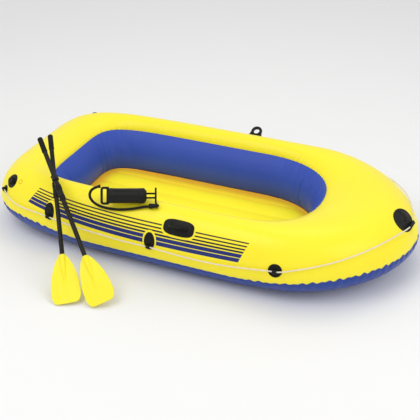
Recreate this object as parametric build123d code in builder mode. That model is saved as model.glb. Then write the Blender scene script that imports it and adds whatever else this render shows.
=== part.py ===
"""Two-person inflatable boat: welded vinyl hull of two air chambers, slatted air floor, moulded
rubber fittings, grab lines, a pair of two-piece oars and a hand pump with its hose."""

import os
from math import atan2, cos, degrees, pi, radians, sin, sqrt, tan

from build123d import *

os.makedirs("parts", exist_ok=True)

# ---------------------------------------------------------------- driving sizes, in millimetres
# Hull. X runs to the bow, Y to port, Z up; the origin is the middle of the flat bottom.
HALF_LENGTH = 1180.0
HALF_BEAM = 600.0
TUBE_HEIGHT = 372.0
LIMB_HEIGHT = 170.0
SEAM_HEIGHT = 105.0
SEAM_CLIMB_BOW = 78.0
SEAM_CLIMB_STERN = 47.0
SKIN = 1.2
SHEET_GAP = 0.6

# The outline is two superellipses, round at the bow and blunt at the stern.
BOW_CENTRE = 555.0
BOW_POWER = 1.84
STERN_CENTRE = 100.0
STERN_POWER = 4.7

# The cockpit's edge, the same way.
COCKPIT_BOW_CENTRE = 190.0
COCKPIT_BOW_REACH = 468.0
COCKPIT_BOW_POWER = 2.28
COCKPIT_STERN_CENTRE = -62.0
COCKPIT_STERN_REACH = 800.0
COCKPIT_STERN_POWER = 5.8
COCKPIT_HALF_WIDTH = 394.0
EDGE_HEIGHT = 308.0

# Sections stand square to a spine, whose ends are the centres of the bow's and stern's fans.
SPINE_BOW = 250.0
SPINE_STERN = -450.0
CREST_INSET = 140.0
CREST_WIDENING = 0.35
CREST_AT_WIDTH = 200.0
EDGE_TURN = 70.0
BOTTOM_SPREAD = 1.1
BOTTOM_SPREAD_ENDS = 0.38

# Inner wall and floor.
WALL_BULGE = 60.0
WALL_FOOT = 47.0
FLOOR_HEIGHT = 57.0
FLOOR_CHANNELS = 6
CHANNEL_CROWN = 7.0
DIVIDER_BULGE = 25.0
DIVIDER_INSET = 5.0

# Moulded fittings.
PAD_THICKNESS = 2.5
PAD_GAP = 0.3
ROPE_DIAMETER = 8.0
ROPE_STANDOFF = 12.0
LUG_SIZE = (60.0, 98.0)
LUG_RISE = 28.0
CLIP_DIAMETER = 72.0
OARLOCK_PAD = (170.0, 84.0)
OARLOCK_CORNER = 28.0
OARLOCK_PLACE = (61.0, 44.0)
OARLOCK_FIN_HEIGHT = 84.0
OARLOCK_FIN_THICKNESS = 9.0
OARLOCK_BORE = 38.0
OARLOCK_BORE_HEIGHT = 50.0
VALVE_DIAMETER = 80.0
VALVE_BORE = 34.0
VALVE_CLEARANCE = 0.35

STERN_LUG_HEADING = 141.5
BOW_FITTING_HEADING = -2.5
BOW_FITTING_TURN = 45.0

# Grab lines: start on the spine, heading and height of each point, for the starboard side.
GRAB_LINE_STOPS = [
    (-450.0, -141.5, 252.0),
    (-450.0, -137.0, 229.0),
    (-450.0, -131.0, 216.0),
    (-450.0, -124.5, 218.0),
    (-450.0, -118.0, 219.0),
    (-450.0, -113.5, 214.0),
    (-450.0, -108.5, 208.0),
    (-450.0, -101.0, 202.0),
    (-450.0, -93.5, 198.0),
    (-390.0, -90.0, 194.0),
    (-290.0, -90.0, 188.5),
    (-200.0, -90.0, 186.0),
    (-92.0, -90.0, 187.0),
    (5.0, -90.0, 182.0),
    (105.0, -90.0, 178.0),
    (205.0, -90.0, 177.5),
    (250.0, -85.0, 181.0),
    (250.0, -76.5, 190.0),
    (250.0, -68.5, 201.0),
    (250.0, -60.0, 212.0),
    (250.0, -53.5, 228.0),
    (250.0, -45.5, 247.0),
    (250.0, -37.0, 265.0),
    (250.0, -28.5, 280.0),
    (250.0, -20.0, 289.0),
    (250.0, -12.0, 291.0),
]
# The port line runs on past the middle, because the bow handle stands a little to starboard.
PORT_LAST_STOP = (250.0, -4.0, 290.0)
AFT_LUG_STOP = 5
MIDDLE_LUG_STOP = 12
CLIP_STOP = 19

# Oars: each is placed by its blade tip and its grip end; both blades face the same way.
OARS = {
    "front_oar": ((-187.0, -941.0, 30.0), (-818.0, -428.0, 595.0)),
    "rear_oar": ((-362.0, -996.0, 15.0), (-829.0, -310.0, 558.0)),
}
BLADE_FACING = (0.334, -0.8, 0.5)
OAR_LENGTH = 990.0
SHAFT_DIAMETER = 25.0
SHAFT_WALL = 1.6
BLADE_LENGTH = 265.0
BLADE_WIDTH = 152.0
BLADE_THICKNESS = 4.0
BLADE_OUTLINE = [
    (0.0, 0.0), (0.62, 3.0), (0.9, 14.0), (1.0, 45.0), (0.95, 120.0), (0.72, 190.0), (0.48, 235.0)
]
SLEEVE_LENGTH = 90.0
SLEEVE_START = 600.0
SHAFT_CLEARANCE = 0.35

# Pump: it lies along the starboard tube, its rod end turned in over the cockpit.
PUMP_MIDDLE = (-250.3, -523.3, 412.5)
PUMP_HEADING = 22.66
PUMP_LEAN = 30.0
BARREL_LENGTH = 176.0
BARREL_RADIUS = 40.0
BARREL_WALL = 2.5
PISTON_CLEARANCE = 0.4
ROD_RADIUS = 5.0
ROD_SPACING = 22.0
PISTON_PLACE = -36.0
PISTON_THICKNESS = 14.0
HANDLE_PLACE = 146.0
HANDLE_SPAN = 84.0
HOSE_DIAMETER = 15.0
HOSE_POINTS = [
    (-395.3, -553.8, 451.5),
    (-413.3, -564.8, 447.5),
    (-434.3, -574.8, 428.5),
    (-442.3, -577.8, 394.5),
    (-426.5, -570.4, 358.2),
    (-390.2, -562.2, 336.8),
    (-342.2, -557.6, 332.2),
    (-290.7, -554.8, 336.0),
    (-241.0, -547.0, 344.5),
    (-195.8, -536.0, 355.2),
    (-155.0, -522.2, 366.5),
    (-124.0, -516.3, 373.5),
]
NOZZLE_LENGTH = 38.0
NOZZLE_RADIUS = 14.0


# ---------------------------------------------------------------- the hull's form
def superellipse_share(x, y, centre, reach, half_width, power):
    """Below 1 inside the curve, 1 on it."""
    return (abs(x - centre) / reach) ** power + (abs(y) / half_width) ** power


def in_outline(x, y):
    if x > BOW_CENTRE:
        share = superellipse_share(x, y, BOW_CENTRE, HALF_LENGTH - BOW_CENTRE, HALF_BEAM, BOW_POWER)
        return share < 1
    if x < STERN_CENTRE:
        reach = HALF_LENGTH + STERN_CENTRE
        return superellipse_share(x, y, STERN_CENTRE, reach, HALF_BEAM, STERN_POWER) < 1
    return abs(y) < HALF_BEAM


def in_cockpit(x, y):
    if x > COCKPIT_BOW_CENTRE:
        share = superellipse_share(
            x, y, COCKPIT_BOW_CENTRE, COCKPIT_BOW_REACH, COCKPIT_HALF_WIDTH, COCKPIT_BOW_POWER
        )
        return share < 1
    if x < COCKPIT_STERN_CENTRE:
        share = superellipse_share(
            x, y, COCKPIT_STERN_CENTRE, COCKPIT_STERN_REACH, COCKPIT_HALF_WIDTH, COCKPIT_STERN_POWER
        )
        return share < 1
    return abs(y) < COCKPIT_HALF_WIDTH


def reach_of(inside, start, heading):
    """How far the curve lies from start, by halving."""
    low = 0.0
    high = 2 * HALF_LENGTH
    for _ in range(50):
        middle = (low + high) / 2
        if inside(start + middle * cos(heading), middle * sin(heading)):
            low = middle
        else:
            high = middle
    return low


def smooth_step(low, high, value):
    share = min(max((value - low) / (high - low), 0.0), 1.0)
    return share * share * (3 - 2 * share)


class Station:
    """One upright section of the hull: start on the spine, heading outwards in degrees."""

    def __init__(self, start, heading):
        self.start = start
        self.heading = radians(heading)
        self.outer = reach_of(in_outline, start, self.heading)
        self.width = self.outer - reach_of(in_cockpit, start, self.heading)
        self.crest = CREST_INSET + CREST_WIDENING * (self.width - CREST_AT_WIDTH)
        bowward = cos(self.heading)
        self.seam_height = (
            SEAM_HEIGHT
            + SEAM_CLIMB_BOW * smooth_step(0.15, 1.05, bowward)
            + SEAM_CLIMB_STERN * smooth_step(0.1, 0.7, -bowward)
        )
        self.keel = self.crest * (BOTTOM_SPREAD + BOTTOM_SPREAD_ENDS * smooth_step(0.1, 0.6, abs(bowward)))

    def at(self, inset, height):
        """The point that lies inset inwards from the outline, at a height."""
        reach = self.outer - inset
        return Vector(
            self.start + reach * cos(self.heading), reach * sin(self.heading), height
        )

    def plane(self):
        """The section's plane: x is the reach from the spine, y the height."""
        return Plane(
            origin=(self.start, 0, 0),
            x_dir=(cos(self.heading), sin(self.heading), 0),
            z_dir=(sin(self.heading), -cos(self.heading), 0),
        )


def side_x(share):
    return SPINE_STERN + share * (SPINE_BOW - SPINE_STERN)


FAN_STEPS = 20
SIDE_STEPS = 5
FAN = [180.0 * step / FAN_STEPS for step in range(FAN_STEPS + 1)]
SIDE = [step / SIDE_STEPS for step in range(SIDE_STEPS + 1)]
HULL_PANELS = {
    "bow": [Station(SPINE_BOW, angle - 90) for angle in FAN],
    "port": [Station(side_x(1 - share), 90) for share in SIDE],
    "stern": [Station(SPINE_STERN, angle + 90) for angle in FAN],
    "starboard": [Station(side_x(share), -90) for share in SIDE],
}


def tube_point(station, turn):
    """Inset and height on the outer tube: turn -90 is the bottom, 0 the widest point, 90 the crest."""
    height = TUBE_HEIGHT - LIMB_HEIGHT if turn > 0 else LIMB_HEIGHT
    inset = (station.crest if turn > 0 else station.keel) * (1 - cos(radians(turn)))
    return inset, LIMB_HEIGHT + height * sin(radians(turn))


def deck_point(station, share):
    """Inset and height on the deck, from the crest to the cockpit's edge."""
    turn = radians(EDGE_TURN) * share
    inset = station.crest + (station.width - station.crest) * sin(turn) / sin(radians(EDGE_TURN))
    fall = (TUBE_HEIGHT - EDGE_HEIGHT) * (1 - cos(turn)) / (1 - cos(radians(EDGE_TURN)))
    return inset, TUBE_HEIGHT - fall


def turn_at_height(height):
    """The tube's turn at a height, by the sine that tube_point uses."""
    span = TUBE_HEIGHT - LIMB_HEIGHT if height > LIMB_HEIGHT else LIMB_HEIGHT
    share = (height - LIMB_HEIGHT) / span
    return degrees(atan2(share, sqrt(1 - share**2)))


def top_profile(station):
    seam_turn = turn_at_height(station.seam_height)
    rise = [seam_turn + (90 - seam_turn) * step / 9 for step in range(10)]
    deck = [step / 5 for step in range(1, 6)]
    return [tube_point(station, turn) for turn in rise] + [deck_point(station, s) for s in deck]


def lower_profile(station):
    below = turn_at_height(station.seam_height) - degrees(SHEET_GAP / LIMB_HEIGHT)
    return [tube_point(station, -90 + (below + 90) * step / 7) for step in range(8)]


def wall_inset(station, drop):
    """The cockpit side of the inner wall: drop 0 is the cockpit's edge, 1 the floor."""
    return station.width + 4 * WALL_BULGE * drop * (1 - drop) + WALL_FOOT * drop**2


def wall_profile(station):
    """The blue inner wall, from the cockpit's edge down to the floor."""
    points = []
    for step in range(9):
        drop = step / 8
        height = EDGE_HEIGHT - SHEET_GAP - (EDGE_HEIGHT - FLOOR_HEIGHT) * drop
        points.append((wall_inset(station, drop) + SKIN + SHEET_GAP, height))
    return points


def divider_profile(station):
    """The web that parts the outer chamber from the inner one."""
    points = []
    for step in range(7):
        drop = step / 6
        inset = station.width - DIVIDER_INSET + 4 * DIVIDER_BULGE * drop * (1 - drop)
        height = 2 * SKIN + SHEET_GAP + (EDGE_HEIGHT - 8 * SKIN) * (1 - drop)
        points.append((inset, height))
    return points


def inner_side(points, thickness):
    """The profile again, moved towards the air chamber by the film's thickness."""
    moved = []
    for index, (inset, height) in enumerate(points):
        before = points[max(index - 1, 0)]
        after = points[min(index + 1, len(points) - 1)]
        along = Vector(after[0] - before[0], after[1] - before[1]).normalized()
        moved.append((inset + thickness * along.Y, height - thickness * along.X))
    return moved


def film_sections(stations, profile, thickness):
    """The sections of a film of even thickness, one at each station, for a loft."""
    sections = []
    for station in stations:
        face_side = [(station.outer - inset, height) for inset, height in profile(station)]
        chamber_side = [
            (station.outer - inset, height)
            for inset, height in inner_side(profile(station), thickness)
        ]
        with BuildSketch(station.plane()) as section:
            with BuildLine():
                Spline(*face_side)
                Line(face_side[-1], chamber_side[-1])
                Spline(*reversed(chamber_side))
                Line(chamber_side[0], face_side[0])
            make_face()
        sections.append(section.sketch)
    return sections


def write(piece, name):
    piece.part.label = name
    export_step(piece.part, f"parts/{name}.step")


def hull_plane(start, heading, turn):
    """A plane on the tube's outside: z outwards, x level and towards the bow."""
    step = 0.5
    on_side = abs(sin(radians(heading))) > 0.999
    if on_side:
        behind, ahead = Station(start - step, heading), Station(start + step, heading)
    else:
        behind, ahead = Station(start, heading - step), Station(start, heading + step)
    here = Station(start, heading)
    along = ahead.at(*tube_point(ahead, turn)) - behind.at(*tube_point(behind, turn))
    rise = here.at(*tube_point(here, turn + step)) - here.at(*tube_point(here, turn - step))
    if along.X < 0:
        along = along * -1
    outward = along.cross(rise).normalized()
    if outward.dot(Vector(cos(here.heading), sin(here.heading), 0)) < 0:
        outward = outward * -1
    return Plane(origin=here.at(*tube_point(here, turn)), x_dir=along.normalized(), z_dir=outward)


def bend_radii(points):
    """The largest arc that each corner's two runs allow."""
    radii = []
    for before, corner, after in zip(points, points[1:], points[2:]):
        run_in = Vector(*corner) - Vector(*before)
        run_out = Vector(*after) - Vector(*corner)
        half_turn = radians(run_in.get_angle(run_out)) / 2
        radii.append(0.45 * min(run_in.length, run_out.length) / tan(half_turn))
    return radii


def report_cord(name, piece, path, diameter):
    length = sum(edge.length for edge in path.edges())
    volume_share = piece.volume / (length * pi * diameter**2 / 4)
    print(name, "length", round(length, 1), "volume over section times length", round(volume_share, 4))


# ---------------------------------------------------------------- the hull's films
for panel, stations in HULL_PANELS.items():
    with BuildPart() as top_skin:
        loft(film_sections(stations, top_profile, SKIN), ruled=True)
    write(top_skin, f"top_skin_{panel}")

    with BuildPart() as lower_skin:
        loft(film_sections(stations, lower_profile, SKIN), ruled=True)
    write(lower_skin, f"lower_skin_{panel}")

    with BuildPart() as inner_wall:
        loft(film_sections(stations, wall_profile, SKIN), ruled=True)
    write(inner_wall, f"inner_wall_{panel}")

with BuildPart() as chamber_divider:
    for stations in HULL_PANELS.values():
        loft(film_sections(stations, divider_profile, SKIN), ruled=True)
write(chamber_divider, "chamber_divider")

ALL_STATIONS = [station for stations in HULL_PANELS.values() for station in stations[:-1]]
bottom_edge = [station.at(station.keel + SHEET_GAP, 0) for station in ALL_STATIONS]
floor_edge = [
    station.at(wall_inset(station, 1) + SKIN + 2 * SHEET_GAP, 0) for station in ALL_STATIONS
]

with BuildPart() as bottom_sheet:
    with BuildSketch(Plane.XY):
        with BuildLine():
            Polyline(*bottom_edge, close=True)
        make_face()
    extrude(amount=SKIN)
write(bottom_sheet, "bottom_sheet")

floor_half_width = COCKPIT_HALF_WIDTH
channel_width = 2 * floor_half_width / FLOOR_CHANNELS
valley_height = FLOOR_HEIGHT - CHANNEL_CROWN

with BuildPart() as floor_sheet:
    with BuildSketch(Plane.YZ):
        with BuildLine():
            for channel in range(FLOOR_CHANNELS):
                near_edge = channel * channel_width - floor_half_width
                far_edge = near_edge + channel_width
                middle = (near_edge + far_edge) / 2
                for drop in (0, SKIN):
                    ThreePointArc(
                        (near_edge, valley_height - drop),
                        (middle, FLOOR_HEIGHT - drop),
                        (far_edge, valley_height - drop),
                    )
            for edge in (-floor_half_width, floor_half_width):
                Line((edge, valley_height - SKIN), (edge, valley_height))
        make_face()
    extrude(amount=HALF_LENGTH, both=True)
    with BuildSketch(Plane.XY):
        with BuildLine():
            Polyline(*floor_edge, close=True)
        make_face()
    extrude(amount=TUBE_HEIGHT, mode=Mode.INTERSECT)
write(floor_sheet, "floor_sheet")

web_bottom = SKIN + SHEET_GAP
web_top = valley_height - SKIN - SHEET_GAP
with BuildPart() as floor_webs:
    with BuildSketch(Plane.XY.offset(web_bottom)):
        with BuildLine():
            Polyline(*floor_edge, close=True)
        make_face()
    extrude(amount=web_top - web_bottom)
    with BuildSketch(Plane.XY.offset(web_bottom)):
        with Locations(*[(0, (web + 1) * channel_width - floor_half_width) for web in range(FLOOR_CHANNELS - 1)]):
            Rectangle(2 * HALF_LENGTH, SKIN)
    extrude(amount=web_top - web_bottom, mode=Mode.INTERSECT)
write(floor_webs, "floor_webs")

# ---------------------------------------------------------------- valves
VALVES = {
    "outer_chamber_valve": hull_plane(-450, -139.7, 44.4),
    "inner_chamber_valve": hull_plane(-450, 139.7, 44.4),
    "floor_valve": Plane(origin=(-640, 0, FLOOR_HEIGHT), x_dir=(1, 0, 0), z_dir=(0, 0, 1)),
}
VALVE_BASE_HEIGHT = 7.0
INSERT_HEIGHT = 5.0
CAP_HEIGHT = 4.0
for valve, seat in VALVES.items():
    with BuildPart() as valve_base:
        with BuildSketch(seat.offset(PAD_GAP)):
            Circle(VALVE_DIAMETER / 2)
            Circle(VALVE_BORE / 2, mode=Mode.SUBTRACT)
        extrude(amount=PAD_THICKNESS)
        with BuildSketch(seat.offset(PAD_GAP + PAD_THICKNESS)):
            Circle(VALVE_BORE / 2 + 6)
            Circle(VALVE_BORE / 2, mode=Mode.SUBTRACT)
        extrude(amount=VALVE_BASE_HEIGHT - PAD_THICKNESS)
    write(valve_base, f"{valve}_base")

    with BuildPart() as insert:
        with BuildSketch(seat.offset(PAD_GAP)):
            Circle(VALVE_BORE / 2 - VALVE_CLEARANCE)
        extrude(amount=VALVE_BASE_HEIGHT)
        with BuildSketch(seat.offset(PAD_GAP + VALVE_BASE_HEIGHT + VALVE_CLEARANCE)):
            Circle(VALVE_BORE / 2 + 5)
            with PolarLocations(VALVE_BORE / 2 + 5, 12):
                Circle(1.5)
        extrude(amount=INSERT_HEIGHT)
        with BuildSketch(seat.offset(PAD_GAP + VALVE_BASE_HEIGHT)):
            Circle(VALVE_BORE / 2 - 3)
        extrude(amount=VALVE_CLEARANCE)
    write(insert, f"{valve}_insert")

    with BuildPart() as cap:
        cap_seat = PAD_GAP + VALVE_BASE_HEIGHT + INSERT_HEIGHT + 2 * VALVE_CLEARANCE
        with BuildSketch(seat.offset(cap_seat)):
            Circle(VALVE_BORE / 2 + 2)
            with Locations((VALVE_BORE / 2 + 3, 0)):
                RectangleRounded(10, 14, 2)
        extrude(amount=CAP_HEIGHT)
    write(cap, f"{valve}_cap")

# ---------------------------------------------------------------- rubber fittings
def line_plane(stop, side):
    """The plane on the hull at one point of a grab line; side is -1 starboard, 1 port."""
    start, heading, height = PORT_LAST_STOP if stop == len(GRAB_LINE_STOPS) else GRAB_LINE_STOPS[stop]
    return hull_plane(start, -side * heading, turn_at_height(height))


LINE_BRIDGE = (16.0, 22.0)
BRIDGE_HEIGHT = ROPE_STANDOFF + ROPE_DIAMETER / 2 + 5
LINE_BORE = ROPE_DIAMETER / 2 + 1
STERN_LUG_SIZE = (46.0, 46.0)
STRAIGHT_HALF = 22.0
SIDES = {"starboard": -1, "port": 1}
for side, sign in SIDES.items():
    lug_places = {
        "stern_lug": (0, STERN_LUG_SIZE, 0),
        "aft_lug": (AFT_LUG_STOP, LUG_SIZE, LUG_RISE),
        "middle_lug": (MIDDLE_LUG_STOP, LUG_SIZE, LUG_RISE),
    }
    for lug_name, (stop, pad_size, pad_rise) in lug_places.items():
        seat = line_plane(stop, sign)
        up = 1 if seat.y_dir.Z > 0 else -1
        with BuildPart() as lug:
            with BuildSketch(seat.offset(PAD_GAP)):
                with Locations((0, up * pad_rise)):
                    Ellipse(pad_size[0] / 2, pad_size[1] / 2)
            extrude(amount=PAD_THICKNESS)
            with BuildSketch(seat.offset(PAD_GAP)):
                RectangleRounded(*LINE_BRIDGE, 3)
            extrude(amount=BRIDGE_HEIGHT)
            with BuildSketch(Plane(origin=seat.from_local_coords((0, 0, ROPE_STANDOFF)), z_dir=seat.x_dir)):
                Circle(LINE_BORE)
            extrude(amount=LUG_SIZE[0], both=True, mode=Mode.SUBTRACT)
        write(lug, f"{lug_name}_{side}")

    seat = line_plane(CLIP_STOP, sign)
    with BuildPart() as line_clip:
        with BuildSketch(seat.offset(PAD_GAP)):
            Circle(CLIP_DIAMETER / 2)
        extrude(amount=PAD_THICKNESS)
        with BuildSketch(seat.offset(PAD_GAP)):
            RectangleRounded(*LINE_BRIDGE, 3)
        extrude(amount=BRIDGE_HEIGHT)
        with BuildSketch(Plane(origin=seat.from_local_coords((0, 0, ROPE_STANDOFF)), z_dir=seat.x_dir)):
            Circle(LINE_BORE)
        extrude(amount=CLIP_DIAMETER, both=True, mode=Mode.SUBTRACT)
    write(line_clip, f"line_clip_{side}")

    seat = hull_plane(OARLOCK_PLACE[0], sign * 90, OARLOCK_PLACE[1])
    with BuildPart() as oarlock:
        with BuildSketch(seat.offset(PAD_GAP)):
            RectangleRounded(*OARLOCK_PAD, OARLOCK_CORNER)
        extrude(amount=PAD_THICKNESS)
        with BuildSketch(Plane(origin=seat.origin, x_dir=seat.x_dir, z_dir=-seat.y_dir)):
            with BuildLine():
                foot = OARLOCK_PAD[0] / 2 - 12
                shoulder = OARLOCK_BORE / 2 + 14
                base = PAD_GAP + PAD_THICKNESS
                Polyline((shoulder, OARLOCK_BORE_HEIGHT), (foot, base), (-foot, base), (-shoulder, OARLOCK_BORE_HEIGHT))
                ThreePointArc(
                    (-shoulder, OARLOCK_BORE_HEIGHT),
                    (0, OARLOCK_FIN_HEIGHT),
                    (shoulder, OARLOCK_BORE_HEIGHT),
                )
            make_face()
            with Locations((0, OARLOCK_BORE_HEIGHT)):
                Circle(OARLOCK_BORE / 2, mode=Mode.SUBTRACT)
        extrude(amount=OARLOCK_FIN_THICKNESS / 2, both=True)
    write(oarlock, f"oarlock_{side}")
    print(side, "oarlock bore", seat.from_local_coords((0, 0, OARLOCK_BORE_HEIGHT)), seat.y_dir)

BOW_PAD = (164.0, 128.0)
BOW_BRIDGE = (60.0, 20.0)
BOW_BRIDGE_DROP = 46.0
BOW_BRIDGE_HEIGHT = 26.0
bow_seat = hull_plane(SPINE_BOW, BOW_FITTING_HEADING, BOW_FITTING_TURN)
with BuildPart() as bow_handle:
    with BuildSketch(bow_seat.offset(PAD_GAP)):
        Ellipse(BOW_PAD[0] / 2, BOW_PAD[1] / 2)
    extrude(amount=PAD_THICKNESS)
    with BuildSketch(bow_seat.offset(PAD_GAP)):
        with Locations((0, -BOW_BRIDGE_DROP)):
            RectangleRounded(*BOW_BRIDGE, 4)
    extrude(amount=BOW_BRIDGE_HEIGHT)
    bridge_bore = Plane(
        origin=bow_seat.from_local_coords((0, -BOW_BRIDGE_DROP, BOW_BRIDGE_HEIGHT / 2)), z_dir=bow_seat.x_dir
    )
    with BuildSketch(bridge_bore):
        Circle(8)
    extrude(amount=BOW_BRIDGE[0], both=True, mode=Mode.SUBTRACT)
write(bow_handle, "bow_handle")
print("bow", bow_seat.origin, bow_seat.x_dir, bow_seat.y_dir, bow_seat.z_dir)

# ---------------------------------------------------------------- grab lines
for side, sign in SIDES.items():
    line_points = []
    for stop in range(len(GRAB_LINE_STOPS) + (side == "port")):
        held = stop in (0, AFT_LUG_STOP, MIDDLE_LUG_STOP, CLIP_STOP)
        for shift in (-STRAIGHT_HALF, STRAIGHT_HALF) if held else (0,):
            line_point = line_plane(stop, sign).from_local_coords((shift, 0, ROPE_STANDOFF))
            line_points.append(tuple(line_point))
    # The line's bow end lies in the handle's bridge, where a knot holds it.
    for across_bridge in (-BOW_BRIDGE[0] / 2 - 6, -7.0):
        end_point = bow_seat.from_local_coords(
            (-sign * across_bridge, -BOW_BRIDGE_DROP, BOW_BRIDGE_HEIGHT / 2)
        )
        line_points.append(tuple(end_point))
    with BuildPart() as grab_line:
        with BuildLine() as line_route:
            FilletPolyline(*line_points, radius=bend_radii(line_points))
        with BuildSketch(Plane(origin=line_route.line @ 0, z_dir=line_route.line % 0)):
            Circle(ROPE_DIAMETER / 2)
        sweep()
    write(grab_line, f"grab_line_{side}")
    report_cord(f"grab line {side}", grab_line.part, line_route.line, ROPE_DIAMETER)

# ---------------------------------------------------------------- oars
for oar, (tip, grip_end) in OARS.items():
    along = (Vector(*grip_end) - Vector(*tip)).normalized()
    across = along.cross(Vector(*BLADE_FACING)).normalized()
    shaft = Plane(origin=tip, x_dir=across, z_dir=along)
    radius = SHAFT_DIAMETER / 2
    socket_start = 0.45 * BLADE_LENGTH

    blade_face = Plane(origin=tip, x_dir=across, z_dir=across.cross(along))
    with BuildPart() as blade:
        with BuildSketch(blade_face):
            with BuildLine():
                half = BLADE_WIDTH / 2
                outline = [(share * half, reach) for share, reach in BLADE_OUTLINE]
                Spline(*outline, (radius + 4, BLADE_LENGTH))
                Line((radius + 4, BLADE_LENGTH), (0, BLADE_LENGTH))
                Line((0, BLADE_LENGTH), (0, 0))
            make_face()
            mirror(about=Plane.YZ)
        extrude(amount=BLADE_THICKNESS / 2, both=True)
        with BuildSketch(shaft.offset(socket_start)):
            Circle(8)
        with BuildSketch(shaft.offset(BLADE_LENGTH)):
            Circle(radius + 4)
        loft()
        with BuildSketch(shaft.offset(BLADE_LENGTH - 60)):
            Circle(radius + SHAFT_CLEARANCE)
        extrude(amount=60, mode=Mode.SUBTRACT)
    write(blade, f"{oar}_blade")

    with BuildPart() as lower_shaft:
        with BuildSketch(shaft.offset(BLADE_LENGTH - 59)):
            Circle(radius)
            Circle(radius - SHAFT_WALL, mode=Mode.SUBTRACT)
        extrude(amount=SLEEVE_START + 45 - BLADE_LENGTH + 59)
    write(lower_shaft, f"{oar}_lower_shaft")

    with BuildPart() as sleeve:
        with BuildSketch(shaft.offset(SLEEVE_START)):
            Circle(radius + 3.5)
            Circle(radius + 0.05, mode=Mode.SUBTRACT)
        extrude(amount=SLEEVE_LENGTH)
    write(sleeve, f"{oar}_sleeve")

    with BuildPart() as upper_shaft:
        with BuildSketch(shaft.offset(SLEEVE_START + 46)):
            Circle(radius)
            Circle(radius - SHAFT_WALL, mode=Mode.SUBTRACT)
        extrude(amount=OAR_LENGTH - SLEEVE_START - 46 - 12)
    write(upper_shaft, f"{oar}_upper_shaft")

    with BuildPart() as stopper_ring:
        with BuildSketch(shaft.offset(SLEEVE_START + SLEEVE_LENGTH + 30)):
            Circle(radius + 7)
            Circle(radius + 0.05, mode=Mode.SUBTRACT)
        extrude(amount=12)
        fillet(stopper_ring.edges().filter_by(GeomType.CIRCLE).group_by(SortBy.RADIUS)[-1], 3)
    write(stopper_ring, f"{oar}_stopper_ring")

    with BuildPart() as grip_cap:
        with BuildSketch(shaft.offset(OAR_LENGTH - 90)):
            Circle(radius + 2)
            Circle(radius + 0.05, mode=Mode.SUBTRACT)
        extrude(amount=78)
        with BuildSketch(shaft.offset(OAR_LENGTH - 12)):
            Circle(radius + 2)
        extrude(amount=12)
        fillet(grip_cap.faces().sort_by(Axis(tip, along))[-1].edges(), 6)
    write(grip_cap, f"{oar}_grip_cap")
    print(oar, "along", along, "across", across)

# ---------------------------------------------------------------- hand pump
heading = radians(PUMP_HEADING)
lean = radians(PUMP_LEAN)
pump_axis = Vector(cos(heading), sin(heading), 0)
pump_up = Vector(-sin(heading) * sin(lean), cos(heading) * sin(lean), cos(lean))
pump = Plane(origin=PUMP_MIDDLE, x_dir=pump_up, z_dir=pump_axis)
barrel_end = BARREL_LENGTH / 2
barrel_bore = BARREL_RADIUS - BARREL_WALL
NOSE_LENGTH = 15.0
CAP_PLATE = 4.0

with BuildPart() as barrel:
    with BuildSketch(pump.offset(-barrel_end)):
        Circle(BARREL_RADIUS)
        Circle(barrel_bore, mode=Mode.SUBTRACT)
    extrude(amount=BARREL_LENGTH)
write(barrel, "pump_barrel")

with BuildPart() as front_cap:
    with BuildSketch(pump.offset(barrel_end)):
        Circle(BARREL_RADIUS)
    with BuildSketch(pump.offset(barrel_end + NOSE_LENGTH)):
        Circle(0.6 * BARREL_RADIUS)
    loft()
    with BuildSketch(pump.offset(barrel_end)):
        with Locations((ROD_SPACING / 2, 0), (-ROD_SPACING / 2, 0)):
            Circle(ROD_RADIUS + PISTON_CLEARANCE)
    extrude(amount=NOSE_LENGTH, mode=Mode.SUBTRACT)
write(front_cap, "pump_front_cap")

LOOP_LENGTH = 44.0
LOOP_HALF_HEIGHT = 47.0
LOOP_BAR = 13.0
loop_face = Plane(origin=pump.origin, x_dir=pump_axis, z_dir=pump_axis.cross(pump_up))
loop_right = -barrel_end - CAP_PLATE
with BuildPart() as foot_loop:
    with BuildSketch(pump.offset(loop_right)):
        Circle(BARREL_RADIUS)
    extrude(amount=CAP_PLATE)
    with BuildSketch(loop_face):
        with Locations((loop_right - LOOP_LENGTH / 2, 0)):
            RectangleRounded(LOOP_LENGTH, 2 * LOOP_HALF_HEIGHT, 6)
        with Locations((loop_right - LOOP_LENGTH / 2 + 2, 0)):
            RectangleRounded(LOOP_LENGTH - 2 * LOOP_BAR + 4, 2 * (LOOP_HALF_HEIGHT - LOOP_BAR), 4, mode=Mode.SUBTRACT)
    extrude(amount=LOOP_BAR / 2, both=True)
write(foot_loop, "pump_foot_loop")

outlet_start = Vector(*HOSE_POINTS[0])
outlet_way = (Vector(*HOSE_POINTS[0]) - Vector(*HOSE_POINTS[1])).normalized()
with BuildPart() as hose_outlet:
    with BuildSketch(Plane(origin=outlet_start, z_dir=outlet_way)):
        Circle(HOSE_DIAMETER / 2 + 2)
    extrude(amount=9)
write(hose_outlet, "pump_hose_outlet")

with BuildPart() as piston:
    with BuildSketch(pump.offset(PISTON_PLACE - PISTON_THICKNESS / 2)):
        Circle(barrel_bore - PISTON_CLEARANCE)
    extrude(amount=PISTON_THICKNESS)
write(piston, "pump_piston")

rod_start = PISTON_PLACE + PISTON_THICKNESS / 2
with BuildPart() as rods:
    with BuildSketch(pump.offset(rod_start)):
        with Locations((ROD_SPACING / 2, 0), (-ROD_SPACING / 2, 0)):
            Circle(ROD_RADIUS)
    extrude(amount=HANDLE_PLACE - rod_start)
write(rods, "pump_rods")

with BuildPart() as handle:
    with BuildSketch(loop_face):
        with Locations((HANDLE_PLACE + 5, 0)):
            RectangleRounded(10, HANDLE_SPAN, 4.5)
    extrude(amount=6, both=True)
write(handle, "pump_handle")
print("pump axis", pump_axis, "up", pump_up)

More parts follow.
